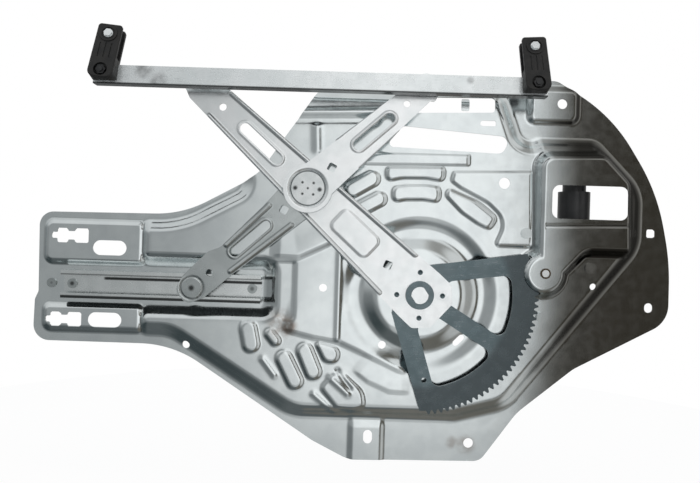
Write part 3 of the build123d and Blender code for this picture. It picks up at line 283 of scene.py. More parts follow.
# Working in the drawing
def frame_x(x):
    """A drawing x as the frame's x in metres."""
    return (x - ORIGIN[0]) / 1000


def frame_z(y):
    """A drawing y as the frame's height in metres."""
    return (y - ORIGIN[1]) / 1000


def to_frame(points):
    """Drawing points in millimetres as points of the frame in metres."""
    x, y, z = np.asarray(points, float).T
    return np.stack([x - ORIGIN[0], -z, y - ORIGIN[1]], 1) / 1000


def outline(corners, steps=8):
    """Points round a polygon whose corners are given as x, y and corner radius."""
    points = []
    count = len(corners)
    for i, (x, y, r) in enumerate(corners):
        here = np.array([x, y], float)
        back, ahead = (np.array(corners[j % count][:2], float) for j in (i - 1, i + 1))
        u = (back - here) / np.linalg.norm(back - here)
        v = (ahead - here) / np.linalg.norm(ahead - here)
        half = math.acos(float(np.clip(u @ v, -1, 1))) / 2
        if r < 1e-6 or abs(half - math.pi / 2) < 1e-4:
            points.append(here)
            continue
        middle = here + (u + v) / np.linalg.norm(u + v) * r / math.sin(half)
        start, end = here + u * r / math.tan(half), here + v * r / math.tan(half)
        a, b = start - middle, end - middle
        sweep = math.acos(float(np.clip(a @ b / r / r, -1, 1)))
        for k in range(steps + 1):
            t = k / steps
            spoke = math.sin((1 - t) * sweep) * a + math.sin(t * sweep) * b
            points.append(middle + spoke / math.sin(sweep))
    return np.array(points)


def circle(x, y, r, steps=40):
    """Points round a circle."""
    at = np.arange(steps) * 2 * math.pi / steps
    return np.stack([x + r * np.cos(at), y + r * np.sin(at)], 1)


def bar(x, y, length, width, turn=0.0, corner=None):
    """A rectangle with rounded corners, with round ends unless a corner radius is given."""
    r = min(length, width) / 2 - HAIR if corner is None else corner
    a, b = length / 2, width / 2
    ring = outline([(-a, -b, r), (a, -b, r), (a, b, r), (-a, b, r)])
    c, s = math.cos(math.radians(turn)), math.sin(math.radians(turn))
    return ring @ np.array([[c, s], [-s, c]]) + (x, y)


def distance(points, ring, reach=40.0):
    """Signed distance from points to a closed ring: negative inside, and reach where it is far outside."""
    low, high = ring.min(0) - reach, ring.max(0) + reach
    near = ((points >= low) & (points <= high)).all(1)
    p = points[near]
    best = np.full(len(p), reach ** 2)
    inside = np.zeros(len(p), bool)
    for a, b in zip(ring, np.roll(ring, -1, 0)):
        edge = b - a
        along = np.clip(((p - a) @ edge) / max(edge @ edge, 1e-12), 0, 1)
        gap = p - a - along[:, None] * edge
        best = np.minimum(best, (gap ** 2).sum(1))
        crosses = (a[1] > p[:, 1]) != (b[1] > p[:, 1])
        if edge[1]:
            inside ^= crosses & (p[:, 0] < a[0] + edge[0] * (p[:, 1] - a[1]) / edge[1])
    result = np.full(len(points), reach)
    result[near] = np.sqrt(best) * np.where(inside, -1, 1)
    return result


def line_distance(points, path):
    """Distance from points to an open line of points."""
    best = np.full(len(points), 1e6)
    path = np.asarray(path, float)
    for a, b in zip(path, path[1:]):
        edge = b - a
        along = np.clip(((points - a) @ edge) / (edge @ edge), 0, 1)
        gap = points - a - along[:, None] * edge
        best = np.minimum(best, (gap ** 2).sum(1))
    return np.sqrt(best)


def smooth(t):
    """t from 0 to 1, with level ends."""
    return t * t * (3 - 2 * t)


def ramp(u, soft):
    """u where it is positive and 0 elsewhere, rounded within soft of the bend."""
    return np.where(u <= -soft, 0, np.where(u >= soft, u, (u + soft) ** 2 / (4 * soft)))


def press(d, rise, run, soft):
    """Height of a pressed area from the distance d to its foot: a wall run wide with rounded bends."""
    return rise / run * (ramp(-d, soft) - ramp(-d - run, soft))


def groove(d, width, depth):
    """A rounded groove along a line at distance d."""
    return -depth * np.exp(-(d / (width / 2)) ** 2)


def side_step(p, path, rise, run):
    """A step up on the left of a line, which fades towards the line's ends and away from it."""
    path = np.asarray(path, float)
    best, side, along = np.full(len(p), 1e6), np.zeros(len(p)), np.zeros(len(p))
    total = sum(np.linalg.norm(b - a) for a, b in zip(path, path[1:]))
    gone = 0.0
    for a, b in zip(path, path[1:]):
        edge = b - a
        length = np.linalg.norm(edge)
        t = ((p - a) @ edge) / length
        held = np.clip(t, 0, length)
        gap = p - a - (held / length)[:, None] * edge
        d = np.hypot(*gap.T)
        nearer = d < best
        best = np.where(nearer, d, best)
        side = np.where(nearer, np.sign(edge[0] * gap[:, 1] - edge[1] * gap[:, 0]), side)
        along = np.where(nearer, gone + held, along)
        gone += length
    d = best * side
    ends = np.clip(np.minimum(along, total - along) / STEP_END_FADE, 0, 1)
    across = smooth(np.clip(d / run + 0.5, 0, 1))
    fade = np.exp(-(np.maximum(d, 0) / STEP_SIDE_FADE) ** 2)
    return rise * across * fade * ends


# Sheet-metal meshes
def spans(parts):
    """Grid lines from runs given as from, to and step."""
    lines = [np.arange(a, b - step / 2, step) for a, b, step in parts]
    return np.concatenate(lines + [np.array([parts[-1][1]])])


def moved_to_outline(points, field):
    """Points near the outline, where field is 0, moved onto it."""
    x_step, y_step = np.array([FIELD_STEP, 0]), np.array([0, FIELD_STEP])
    for _ in range(SNAP_ROUNDS):
        here = field(points)
        change_x = field(points + x_step) - field(points - x_step)
        change_y = field(points + y_step) - field(points - y_step)
        slope = np.stack([change_x, change_y], 1) / (2 * FIELD_STEP)
        steepness = np.maximum((slope ** 2).sum(1), LEAST_STEEPNESS)
        points = points - slope * (here / steepness)[:, None]
    return points


def fill(field, xs, ys):
    """Points, four-sided faces and three-sided faces of the area where field is negative."""
    gx, gy = np.meshgrid(xs, ys)
    points = np.stack([gx.ravel(), gy.ravel()], 1)
    local = np.maximum(*np.meshgrid(np.gradient(xs), np.gradient(ys))).ravel()
    d = field(points)
    edge = np.abs(d) < EDGE_SNAP * local
    points[edge] = moved_to_outline(points[edge], field)
    kept = edge | (d < 0)
    nx = len(xs)
    corner = (np.arange(len(ys) - 1)[:, None] * nx + np.arange(nx - 1)[None, :]).ravel()
    cells = np.stack([corner, corner + 1, corner + nx + 1, corner + nx], 1)
    corners_kept = kept[cells].sum(1)
    full = cells[corners_kept == 4]
    part = cells[corners_kept == 3]
    missing = np.argmin(kept[part], 1)
    rows = np.arange(len(part))
    thirds = np.stack([part[rows, (missing + k) % 4] for k in (1, 2, 3)], 1)
    used = np.zeros(len(points), bool)
    used[full.ravel()] = True
    used[thirds.ravel()] = True
    index = np.cumsum(used) - 1
    return points[used], index[full], index[thirds]


def rim_edges(quads, thirds, count):
    """The edges that only one face uses, in that face's direction."""
    pairs = [quads[:, [i, (i + 1) % 4]] for i in range(4)] + [thirds[:, [i, (i + 1) % 3]] for i in range(3)]
    pairs = np.concatenate(pairs)
    key = np.sort(pairs, 1)
    order = key[:, 0].astype(np.int64) * count + key[:, 1]
    _, first, uses = np.unique(order, return_index=True, return_counts=True)
    return pairs[first[uses == 1]].tolist()


def add_tones(mesh, flat, z, height, slope):
    """Marks the hollows, crests and walls of a sheet for painted shade and painted highlight in its material,
    at half strength on its back.
    """
    steps = ((BEND_REACH, 0), (-BEND_REACH, 0), (0, BEND_REACH), (0, -BEND_REACH))
    bend = (sum(height(flat + step) for step in steps) / 4 - z) / BEND_REACH
    wall = (slope - WALL_SLOPE_FROM) / WALL_SLOPE_RANGE
    for key, value in (("painted_crease_shade", bend * BEND_GAIN), ("painted_crest_highlight", -bend * BEND_GAIN), ("wall", wall)):
        value = np.clip(value, 0, 1)
        layer = mesh.attributes.new(key, "FLOAT", "POINT")
        layer.data.foreach_set("value", np.concatenate([value, value * 0.5]).astype(np.float32))


def sheet(name, field, height, grid, thickness, place=None):
    """A closed pressed-sheet mesh: field says where metal is, height gives its front face."""
    flat, quads, thirds = fill(field, *[spans(parts) for parts in grid])
    z = height(flat)
    e = HEIGHT_STEP
    slope_x = (height(flat + (e, 0)) - height(flat - (e, 0))) / (2 * e)
    slope_y = (height(flat + (0, e)) - height(flat - (0, e))) / (2 * e)
    normal = np.stack([-slope_x, -slope_y, np.ones(len(z))], 1)
    normal /= np.linalg.norm(normal, axis=1)[:, None]
    front = np.column_stack([flat, z])
    back = front - normal * thickness
    count = len(front)
    if place is not None:
        front, back = place(front), place(back)
    faces = quads.tolist() + thirds.tolist()
    backs = [[i + count for i in reversed(face)] for face in faces]
    sides = [[b, a, a + count, b + count] for a, b in rim_edges(quads, thirds, count)]
    mesh = bpy.data.meshes.new(name)
    mesh.from_pydata(to_frame(np.vstack([front, back])).tolist(), [], faces + backs + sides)
    mesh.update()
    mesh.polygons.foreach_set("use_smooth", [True] * (len(faces) + len(backs)) + [False] * len(sides))
    mesh.set_sharp_from_angle(angle=math.radians(SHARP_ANGLE))
    add_tones(mesh, flat, z, height, np.hypot(slope_x, slope_y))
    obj = bpy.data.objects.new(name, mesh)
    bpy.context.scene.collection.objects.link(obj)
    return obj


def turned(origin, angle):
    """Carries points of a piece drawn along x from its pin to where the piece lies."""
    c, s = math.cos(math.radians(angle)), math.sin(math.radians(angle))

    def carry(points):
        x, y, z = points.T
        return np.stack([origin[0] + c * x - s * y, origin[1] + s * x + c * y, z], 1)
    return carry


def metal_field(ring, holes):
    """Signed distance to metal that has a ring for its outline and rings for its holes."""
    def field(p):
        d = distance(p, ring)
        for hole in holes:
            d = np.maximum(d, -distance(p, hole, HOLE_REACH))
        return d
    return field


# Carrier panel
def key_slot(x, y):
    """The stepped slot that hooks on a headed stud."""
    half = KEY_SLOT_HALF
    ring = half + [(px, -py) for px, py in reversed(half)]
    return outline([(x + px, y + py, KEY_SLOT_CORNER) for px, py in ring], 3)


panel_ring = outline(FLANGE, 12)
plateau_ring = outline(PLATEAU_FOOT, 10)
lobe_rings = [outline(UPPER_LOBE), outline(LOWER_LOBE)]
corner_pad_ring = outline(CORNER_PAD)
bridge_ring = outline(BRIDGE_FOOT)
tab_ring = bar(*OPENING_TAB)
bead_rings = [bar(*bead) for bead in BEADS] + [outline(ring, 6) for ring in SHAPED_BEADS]
low_pads = [(outline(ring), rise, run, soft) for ring, rise, run, soft in LOW_PADS]
panel_holes = [circle(*hole) for hole in ROUND_HOLES] + [bar(*slot) for slot in SLOTS]
panel_holes += [key_slot(*place) for place in KEY_SLOTS] + [outline(UPPER_OPENING), outline(LOWER_OPENING)]
metal = metal_field(panel_ring, panel_holes)


def bridge_distance(p):
    """Distance to the foot of the bridge and of the round boss at its lower left."""
    boss = np.hypot(p[:, 0] - PINION[0], p[:, 1] - PINION[1]) - BRIDGE_BOSS_R
    return np.minimum(distance(p, bridge_ring), boss)


def small_relief(p):
    """The panel's low pads, steps, grooves and ridges."""
    z = np.zeros(len(p))
    for ring, rise, run, soft in low_pads:
        z += press(distance(p, ring, RELIEF_REACH), rise, run, soft)
    below = np.clip((FLANGE_PAD_TOP - p[:, 1]) / FLANGE_PAD_FADE, 0, 1)
    z += press(np.abs(p[:, 0] - FLANGE_PAD_X) - FLANGE_PAD_HALF, *FLANGE_PAD_PRESS) * below
    for line, rise, run in LINE_STEPS:
        z += side_step(p, line, rise, run)
    for line, width, depth in LINE_GROOVES:
        z += groove(line_distance(p, line), width, depth)
    return z


def dish_share(p):
    """How much of the dish's depth is there: it runs out into the plateau at the lower left."""
    away = np.degrees(np.arctan2(p[:, 1], p[:, 0])) - DISH_OPEN_TURN
    away = np.abs((away + 180) % 360 - 180)
    t = np.clip((away - DISH_OPEN_HALF) / DISH_OPEN_FADE, 0, 1)
    return DISH_OPEN_DEPTH + (1 - DISH_OPEN_DEPTH) * smooth(t)


def panel_height(p):
    """The level of the panel's front face."""
    r = np.hypot(p[:, 0], p[:, 1])
    rises = [press(distance(p, plateau_ring), PLATEAU - SHEET, *PLATEAU_WALL)]
    rises += [press(distance(p, ring, RELIEF_REACH), LOBE - SHEET, *LOBE_WALL) for ring in lobe_rings]
    pad = distance(p, corner_pad_ring, RELIEF_REACH)
    rises.append(press(pad, CORNER_PAD_LEVEL - SHEET, *CORNER_PAD_WALL))
    z = SHEET + np.max(rises, 0)
    z -= press(r - DISH_R, PLATEAU - DISH_FLOOR, *DISH_WALL) * dish_share(p)
    z += press(r - BOSS_FOOT_R, PIVOT_BOSS - DISH_FLOOR, *BOSS_WALL)
    beads = [press(distance(p, ring, RELIEF_REACH), BEAD_RISE, *BEAD_WALL) for ring in bead_rings]
    z += np.max(beads, 0) + small_relief(p)
    z += press(bridge_distance(p), BRIDGE - PLATEAU, *BRIDGE_WALL)
    return z


def panel_field(p):
    """Metal with the tab in the upper opening, less the slot in the bridge's wall for the sector."""
    with_tab = np.minimum(metal(p), distance(p, tab_ring, HOLE_REACH))
    rise = BRIDGE - PLATEAU
    level = PLATEAU + press(bridge_distance(p), rise, *BRIDGE_WALL)
    gap = np.maximum(SECTOR_GAP[0] - level, level - SECTOR_GAP[1]) / (rise / BRIDGE_WALL[0])
    slot = np.maximum(gap, np.hypot(p[:, 0], p[:, 1]) - SECTOR_TIP_R - SECTOR_CLEARANCE)
    return np.maximum(with_tab, -slot)


panel = sheet("pressed_panel", panel_field, panel_height, PANEL_GRID, SHEET)
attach(panel, "panel")
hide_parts("module_panel")


# Arms
def edge_ribs(first_x, last_x, root, tip, length):
    """The two lines of the raised edges of an arm that narrows from root to tip half widths."""
    def line(side):
        return [(x, side * (root + (tip - root) * x / length - EDGE_RIB_INSET)) for x in (first_x, last_x)]
    return [line(1), line(-1)]


def arm_height(base, ribs, slot, relief):
    """The level of an arm's front face, with ribs along lines, a collar round its slot and its own relief."""
    slot_ring = bar(*slot)

    def height(p):
        z = np.full(len(p), base)
        for line in ribs:
            z += press(line_distance(p, line) - EDGE_RIB_HALF, *EDGE_RIB_PRESS)
        from_collar = np.abs(distance(p, slot_ring, RELIEF_REACH) - SLOT_COLLAR_MIDDLE)
        z += press(from_collar - SLOT_COLLAR_HALF, *SLOT_COLLAR_PRESS)
        return z + relief(p)
    return height


def square_hole(x):
    """A small turned square hole on an arm's middle line."""
    return bar(x, 0, SQUARE_HOLE, SQUARE_HOLE, SQUARE_HOLE_TURN, SQUARE_HOLE_CORNER)


def sector_rivet_hole(turn):
    """One of the holes round the pivot, level or upright where the main arm lies at rest."""
    angle = math.radians(turn) + math.radians(REST_ANGLE - 180)
    x, y = SECTOR_RIVET_CIRCLE_R * math.cos(angle), SECTOR_RIVET_CIRCLE_R * math.sin(angle)
    return circle(x, y, SECTOR_RIVET_HOLE_R, 20)


main_pad_ring = bar(*MAIN_ARM_PAD)


def main_pad(p):
    """The low pad of the main arm between its pivot and the hub."""
    return press(distance(p, main_pad_ring, RELIEF_REACH), MAIN_ARM_PAD_RISE, *ARM_PAD_WALL)


main_holes = [
    circle(0, 0, BIG_HOLE_R), circle(HALF_ARM, 0, BIG_HOLE_R), circle(2 * HALF_ARM, 0, PIN_HOLE_R),
    circle(*MAIN_ARM_SMALL_HOLE), bar(*MAIN_ARM_SLOT), square_hole(MAIN_ARM_SQUARE_X),
] + [sector_rivet_hole(turn) for turn in (0, 90, 180, 270)]
main_arm = sheet(
    "main_arm_pressing", metal_field(outline(MAIN_ARM), main_holes),
    arm_height(MAIN_ARM_FRONT, edge_ribs(*MAIN_ARM_RIBS, 2 * HALF_ARM), MAIN_ARM_SLOT, main_pad),
    MAIN_ARM_GRID, ARM_SHEET, turned((0, 0), 180 - REST_ANGLE),
)
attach(main_arm, "main_arm")
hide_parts("main_arm")


def hub_recess(p):
    """The round recess of the front arm that the hub lies in."""
    return press(np.hypot(p[:, 0], p[:, 1]) - HUB_RECESS_R, *HUB_RECESS_PRESS)


head = circle(0, 0, FRONT_ARM_HEAD_R, FRONT_ARM_HEAD_POINTS)
front_ring = np.concatenate([head[FRONT_ARM_HEAD_PART], outline(FRONT_ARM_TIP)])
front_holes = [
    circle(0, 0, BIG_HOLE_R), circle(HALF_ARM, 0, PIN_HOLE_R), circle(*FRONT_ARM_SMALL_HOLE),
    bar(*FRONT_ARM_SLOT), square_hole(FRONT_ARM_SQUARE_X),
]
front_arm = sheet(
    "front_arm_pressing", metal_field(front_ring, front_holes),
    arm_height(FRONT_ARM_FRONT, edge_ribs(*FRONT_ARM_RIBS, HALF_ARM), FRONT_ARM_SLOT, hub_recess),
    FRONT_ARM_GRID, ARM_SHEET, turned(HUB, REST_ANGLE),
)
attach(front_arm, "equaliser")
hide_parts("equaliser_front_arm")


def pin_ring(p):
    """The ring pressed into the rear arm round its pin."""
    return groove(np.abs(np.hypot(p[:, 0] - HALF_ARM, p[:, 1]) - PIN_RING_R), *PIN_RING_GROOVE)


rear_holes = [
    circle(0, 0, BIG_HOLE_R), circle(HALF_ARM, 0, PIN_HOLE_R), circle(*REAR_ARM_SMALL_HOLE),
    bar(*REAR_ARM_SLOT), square_hole(REAR_ARM_SQUARE_X),
]
rear_arm = sheet(
    "rear_arm_pressing", metal_field(outline(REAR_ARM), rear_holes),
    arm_height(REAR_ARM_FRONT, REAR_ARM_RIBS, REAR_ARM_SLOT, pin_ring), REAR_ARM_GRID, ARM_SHEET,
    turned(HUB, 180 + REST_ANGLE),
)
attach(rear_arm, "equaliser")
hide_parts("equaliser_rear_arm")

# Colours of marks and wear, and of painted shade, painted highlight and painted dark reflection
# Tarnished brown with painted dark reflection, then near-black painted shade for its walls
TARNISH_AND_REFLECTION_COLOUR = (0.16, 0.15, 0.13)
PAINTED_WALL_SHADE = (0.02, 0.019, 0.017)
DARK_LINE = (0.03, 0.033, 0.033)
RIM_COLOUR = (0.085, 0.10, 0.107)
# Painted shade in hollows, then painted highlight on crests
CREASE_SHADE_COLOUR = (0.10, 0.115, 0.115)
CREST_HIGHLIGHT_COLOUR = (0.82, 0.85, 0.86)
RUST_COLOUR = (0.2, 0.12, 0.07)
WORN_COLOUR = (0.2, 0.2, 0.2)
PALE_SCRATCH = (0.75, 0.77, 0.78)

# The tarnished brown of the right side, which also paints a dark reflection there: where it starts and is
# full in the drawing, how far in metres its edge wanders, and how much the edge leans left lower down
RIGHT_DARK_FROM, RIGHT_DARK_TO = 112.0, 160.0
RIGHT_DARK_WANDER = 0.03
RIGHT_DARK_WANDER_SCALE = 28.0
RIGHT_DARK_LEAN = 0.12

# Wear, painted crease shade and painted crest highlight: noise scales in marks per metre, noise detail, and
# the levels between which a mark starts and is full. A share is how much of a mark's colour shows at the
# most.
PATCH_EDGE = (0.35, 0.65)
SCRATCH_DETAIL = 6.0
SCRATCH_SCALE, SCRATCH_STRETCH, SCRATCH_EDGE = 90.0, (1, 1, 14), (0.6, 0.64)
SCRATCHED_SCALE, SCRATCHED_STRETCH, SCRATCHED_EDGE = 70.0, (9, 1, 1.3), (0.42, 0.55)  # their patches
CREASE_SHADE_EDGE, CREASE_SHADE_SHARE = (0.12, 1.0), 0.65
CREST_HIGHLIGHT_SHARE = 0.3
SPOT_SCALE, SPOT_DETAIL, SPOT_EDGE = 110.0, 3.0, (0.2, 0.65)
GLOSS_SCALE, GLOSS_DETAIL, GLOSS_EDGE = 2.5, 5.0, (0.3, 0.7)
BUMP_SCALE, BUMP_DETAIL, BUMP_HEIGHT = 900.0, 3.0, 0.0004
BAND_SOFT, BAND_START_SOFT = 0.7, 3.0  # millimetres


# Material nodes
def node(tree, kind, **values):
    """A new node, with settings by name and inputs by in_ and their name."""
    n = tree.nodes.new(kind)
    for name, value in values.items():
        if name.startswith("in_"):
            n.inputs[name[3:].replace("_", " ")].default_value = value
        else:
            setattr(n, name, value)
    return n


def join(tree, socket, value):
    """Links an output to a socket, or sets the socket to a number or colour."""
    if isinstance(value, bpy.types.NodeSocket):
        tree.links.new(value, socket)
    else:
        socket.default_value = value


def noise(tree, where, scale, detail=4.0, stretch=None):
    """A noise texture at where, in marks per metre."""
    if stretch is not None:
        mapping = node(tree, "ShaderNodeMapping", in_Scale=stretch)
        tree.links.new(where, mapping.inputs["Vector"])
        where = mapping.outputs["Vector"]
    n = node(tree, "ShaderNodeTexNoise", in_Scale=scale, in_Detail=detail)
    tree.links.new(where, n.inputs["Vector"])
    return n.outputs["Fac"]


def remap(tree, value, low, high, to_low=0.0, to_high=1.0):
    """A value carried smoothly from the range low to high to the range to_low to to_high."""
    n = node(
        tree, "ShaderNodeMapRange", interpolation_type="SMOOTHSTEP",
        in_From_Min=low, in_From_Max=high, in_To_Min=to_low, in_To_Max=to_high,
    )
    tree.links.new(value, n.inputs["Value"])
    return n.outputs["Result"]


def blend_colour(tree, factor, a, b):
    """Colour a where the factor is 0, and b where it is 1."""
    n = node(tree, "ShaderNodeMix", data_type="RGBA")
    join(tree, n.inputs[0], factor)
    for socket, colour in ((n.inputs[6], a), (n.inputs[7], b)):
        join(tree, socket, (*colour, 1) if isinstance(colour, tuple) else colour)
    return n.outputs[2]


def combined(tree, operation, a, b):
    """Two values, either of them an output or a number, combined by an operation."""
    n = node(tree, "ShaderNodeMath", operation=operation)
    join(tree, n.inputs[0], a)
    join(tree, n.inputs[1], b)
    return n.outputs[0]


def times(tree, a, b):
    return combined(tree, "MULTIPLY", a, b)


def plus(tree, a, b):
    return combined(tree, "ADD", a, b)


def larger(tree, a, b):
    return combined(tree, "MAXIMUM", a, b)


def mixed(tree, factor, a, b):
    """Value a where the factor is 0, and b where it is 1."""
    n = node(tree, "ShaderNodeMix")
    for place, value in ((0, factor), (2, a), (3, b)):
        tree.links.new(value, n.inputs[place])
    return n.outputs[0]


def mixed_shader(tree, factor, a, b):
    """Shader a where the factor is 0, and b where it is 1."""
    n = node(tree, "ShaderNodeMixShader")
    for place, value in enumerate((factor, a, b)):
        tree.links.new(value, n.inputs[place])
    return n.outputs[0]


def axes(tree, vector):
    """The x, y and z of a vector."""
    split = node(tree, "ShaderNodeSeparateXYZ")
    tree.links.new(vector, split.inputs[0])
    return split.outputs["X"], split.outputs["Y"], split.outputs["Z"]


def attribute(tree, name):
    """A tone of the mesh, which is 0 where the mesh has none."""
    return node(tree, "ShaderNodeAttribute", attribute_name=name).outputs["Fac"]


# Wear and marks
def blot(tree, where, x, y, reach, full=None):
    """A factor that falls from 1 within full of a place of the drawing to 0 at reach, in millimetres."""
    flat = node(tree, "ShaderNodeVectorMath", operation="MULTIPLY")
    flat.inputs[1].default_value = (1, 0, 1)
    tree.links.new(where, flat.inputs[0])
    away = node(tree, "ShaderNodeVectorMath", operation="DISTANCE")
    away.inputs[1].default_value = (frame_x(x), 0, frame_z(y))
    tree.links.new(flat.outputs[0], away.inputs[0])
    full = reach / 4 if full is None else full
    return remap(tree, away.outputs["Value"], full / 1000, reach / 1000, 1.0, 0.0)


def band(tree, where, low, high, start):
    """A factor of 1 between two heights of the drawing, right of start, with soft edges."""
    x, _, z = axes(tree, where)
    above = remap(tree, z, frame_z(low - BAND_SOFT), frame_z(low + BAND_SOFT))
    below = remap(tree, z, frame_z(high - BAND_SOFT), frame_z(high + BAND_SOFT), 1.0, 0.0)
    right = remap(tree, x, frame_x(start - BAND_START_SOFT), frame_x(start))
    return times(tree, times(tree, above, below), right)


def tarnish_and_reflection_share(tree, where):
    """From 0 to 1 across the panel's right side, with an uneven edge that leans left lower down."""
    x, _, z = axes(tree, where)
    wander = times(tree, noise(tree, where, RIGHT_DARK_WANDER_SCALE, SPOT_DETAIL), RIGHT_DARK_WANDER)
    lean = larger(tree, times(tree, z, -RIGHT_DARK_LEAN), 0.0)
    place = plus(tree, plus(tree, x, wander), lean)
    middle = RIGHT_DARK_WANDER / 2
    return remap(tree, place, frame_x(RIGHT_DARK_FROM) + middle, frame_x(RIGHT_DARK_TO) + middle)


def scratch_factor(tree, where):
    """1 on thin, mostly level scratches in patches."""
    lines = remap(tree, noise(tree, where, SCRATCH_SCALE, SCRATCH_DETAIL, SCRATCH_STRETCH), *SCRATCH_EDGE)
    patches = noise(tree, where, SCRATCHED_SCALE, SCRATCH_DETAIL, SCRATCHED_STRETCH)
    return times(tree, lines, remap(tree, patches, *SCRATCHED_EDGE))


def with_painted_relief_light(tree, colour):
    """Painted shade in the hollows and painted highlight on the crests, from the tones of the sheet."""
    hollows = times(tree, remap(tree, attribute(tree, "painted_crease_shade"), *CREASE_SHADE_EDGE), CREASE_SHADE_SHARE)
    colour = blend_colour(tree, hollows, colour, CREASE_SHADE_COLOUR)
    return blend_colour(tree, times(tree, attribute(tree, "painted_crest_highlight"), CREST_HIGHLIGHT_SHARE), colour, CREST_HIGHLIGHT_COLOUR)


def with_tarnish_and_painted_reflection(tree, where, colour, strength):
    """A tarnished brown and painted dark reflection on the right side, with painted shade nearly black on its
    walls.
    """
    factor = times(tree, tarnish_and_reflection_share(tree, where), strength)
    colour = blend_colour(tree, factor, colour, TARNISH_AND_REFLECTION_COLOUR)
    return blend_colour(tree, times(tree, factor, attribute(tree, "wall")), colour, PAINTED_WALL_SHADE)


def with_blots(tree, where, colour, blots, blot_colour):
    """Uneven stains, each with a place, a reach and a strength."""
    spots = remap(tree, noise(tree, where, SPOT_SCALE, SPOT_DETAIL), *SPOT_EDGE)
    for x, y, reach, strength in blots:
        factor = times(tree, times(tree, blot(tree, where, x, y, reach), spots), strength)
        colour = blend_colour(tree, factor, colour, blot_colour)
    return colour


def with_rim(tree, where, colour, rim):
    """Another tone outside a circle, given as its middle, inner and outer radius and strength."""
    x, y, from_r, to_r, strength = rim
    inside = times(tree, blot(tree, where, x, y, to_r, from_r), -strength)
    return blend_colour(tree, plus(tree, inside, strength), colour, RIM_COLOUR)


def surface(name, base, other, rough, metallic=1.0, grain=60.0, scratch=0.0, scratch_colour=PALE_SCRATCH,
            bump=0.05, specular=0.5, blots=(), blot_colour=RUST_COLOUR, dots=(), shade_bands=(), rim=None,
            pressed=False, tarnish_and_dark_reflection=0.0):
    """A worn surface: two tones in patches, scratches and marks, painted shade, highlight and dark reflection
    where asked, uneven gloss and a slight bump.
    """
    material = bpy.data.materials.new(name)
    material.use_nodes = True
    tree = material.node_tree
    shader = tree.nodes["Principled BSDF"]
    shader.inputs["Metallic"].default_value = metallic
    shader.inputs["Specular IOR Level"].default_value = specular
    where = node(tree, "ShaderNodeTexCoord").outputs["Object"]
    colour = blend_colour(tree, remap(tree, noise(tree, where, grain), *PATCH_EDGE), base, other)
    if scratch:
        colour = blend_colour(tree, times(tree, scratch_factor(tree, where), scratch), colour, scratch_colour)
    # Painted shade in the hollows and painted highlight on the crests
    if pressed:
        colour = with_painted_relief_light(tree, colour)
    # Tarnished brown with painted dark reflection on the right side, and painted shade on its walls
    if tarnish_and_dark_reflection:
        colour = with_tarnish_and_painted_reflection(tree, where, colour, tarnish_and_dark_reflection)
    if blots:
        colour = with_blots(tree, where, colour, blots, blot_colour)
    for x, y, reach, strength in dots:
        colour = blend_colour(tree, times(tree, blot(tree, where, x, y, reach), strength), colour, DARK_LINE)
    # Painted shade as dark lines between given heights
    for low, high, start, strength in shade_bands:
        factor = times(tree, band(tree, where, low, high, start), strength)
        colour = blend_colour(tree, factor, colour, DARK_LINE)
    if rim is not None:
        colour = with_rim(tree, where, colour, rim)
    tree.links.new(colour, shader.inputs["Base Color"])
    uneven = noise(tree, where, grain * GLOSS_SCALE, GLOSS_DETAIL)
    tree.links.new(remap(tree, uneven, *GLOSS_EDGE, *rough), shader.inputs["Roughness"])
    bumps = node(tree, "ShaderNodeBump", in_Strength=bump, in_Distance=BUMP_HEIGHT)
    tree.links.new(noise(tree, where, BUMP_SCALE, BUMP_DETAIL), bumps.inputs["Height"])
    tree.links.new(bumps.outputs["Normal"], shader.inputs["Normal"])
    return material


# Materials: two tones, then the range of roughness. Blots and dots are x, y, reach and strength in the
# drawing; the painted shade lines are the lower and upper height, where they start, and strength.
galvanised = surface(
    "galvanised_sheet", (0.69, 0.74, 0.75), (0.74, 0.79, 0.795), (0.16, 0.21), grain=45, bump=0.025,
)
# The rail's dark line is painted shade along its lower edge
rail_steel = surface(
    "rail_steel", (0.82, 0.86, 0.86), (0.91, 0.94, 0.94), (0.2, 0.3), metallic=0.62, grain=35, bump=0.01,
    scratch=0.22, scratch_colour=(0.25, 0.26, 0.26), blot_colour=WORN_COLOUR,
    blots=[(-272, 208, 12, 0.8), (-256, 200, 10, 0.5), (-262, 197, 6, 0.5), (40, 208, 5, 0.5)],
    shade_bands=[(193.0, 195.9, -400, 0.97)],
)
# Painted shade and painted highlight on its relief, and a tarnished brown with painted dark reflection on its
# right side
panel_steel = surface(
    "panel_steel", (0.75, 0.80, 0.81), (0.81, 0.86, 0.865), (0.13, 0.18), grain=45, bump=0.02,
    pressed=True, tarnish_and_dark_reflection=0.85,
    blots=[(-137, -34, 19, 0.7), (-128, -37, 11, 0.6), (53, -152, 13, 0.45), (39, -150, 9, 0.4)],
)
# Painted shade in its hollows and painted highlight on its crests
worn_steel = surface(
    "worn_steel", (0.5, 0.54, 0.54), (0.56, 0.60, 0.60), (0.2, 0.28), grain=50, scratch=0.15, bump=0.03,
    pressed=True,
)
# Its dark lines are painted shadow in the channel's slit and under its lips
guide_steel = surface(
    "guide_steel", (0.80, 0.84, 0.84), (0.88, 0.92, 0.92), (0.22, 0.3), grain=50, scratch=0.3, bump=0.03,
    shade_bands=[(4.6, 7.4, -316, 0.97), (9.3, 10.4, -400, 0.8), (-14.5, -11.2, -400, 0.95)],
)
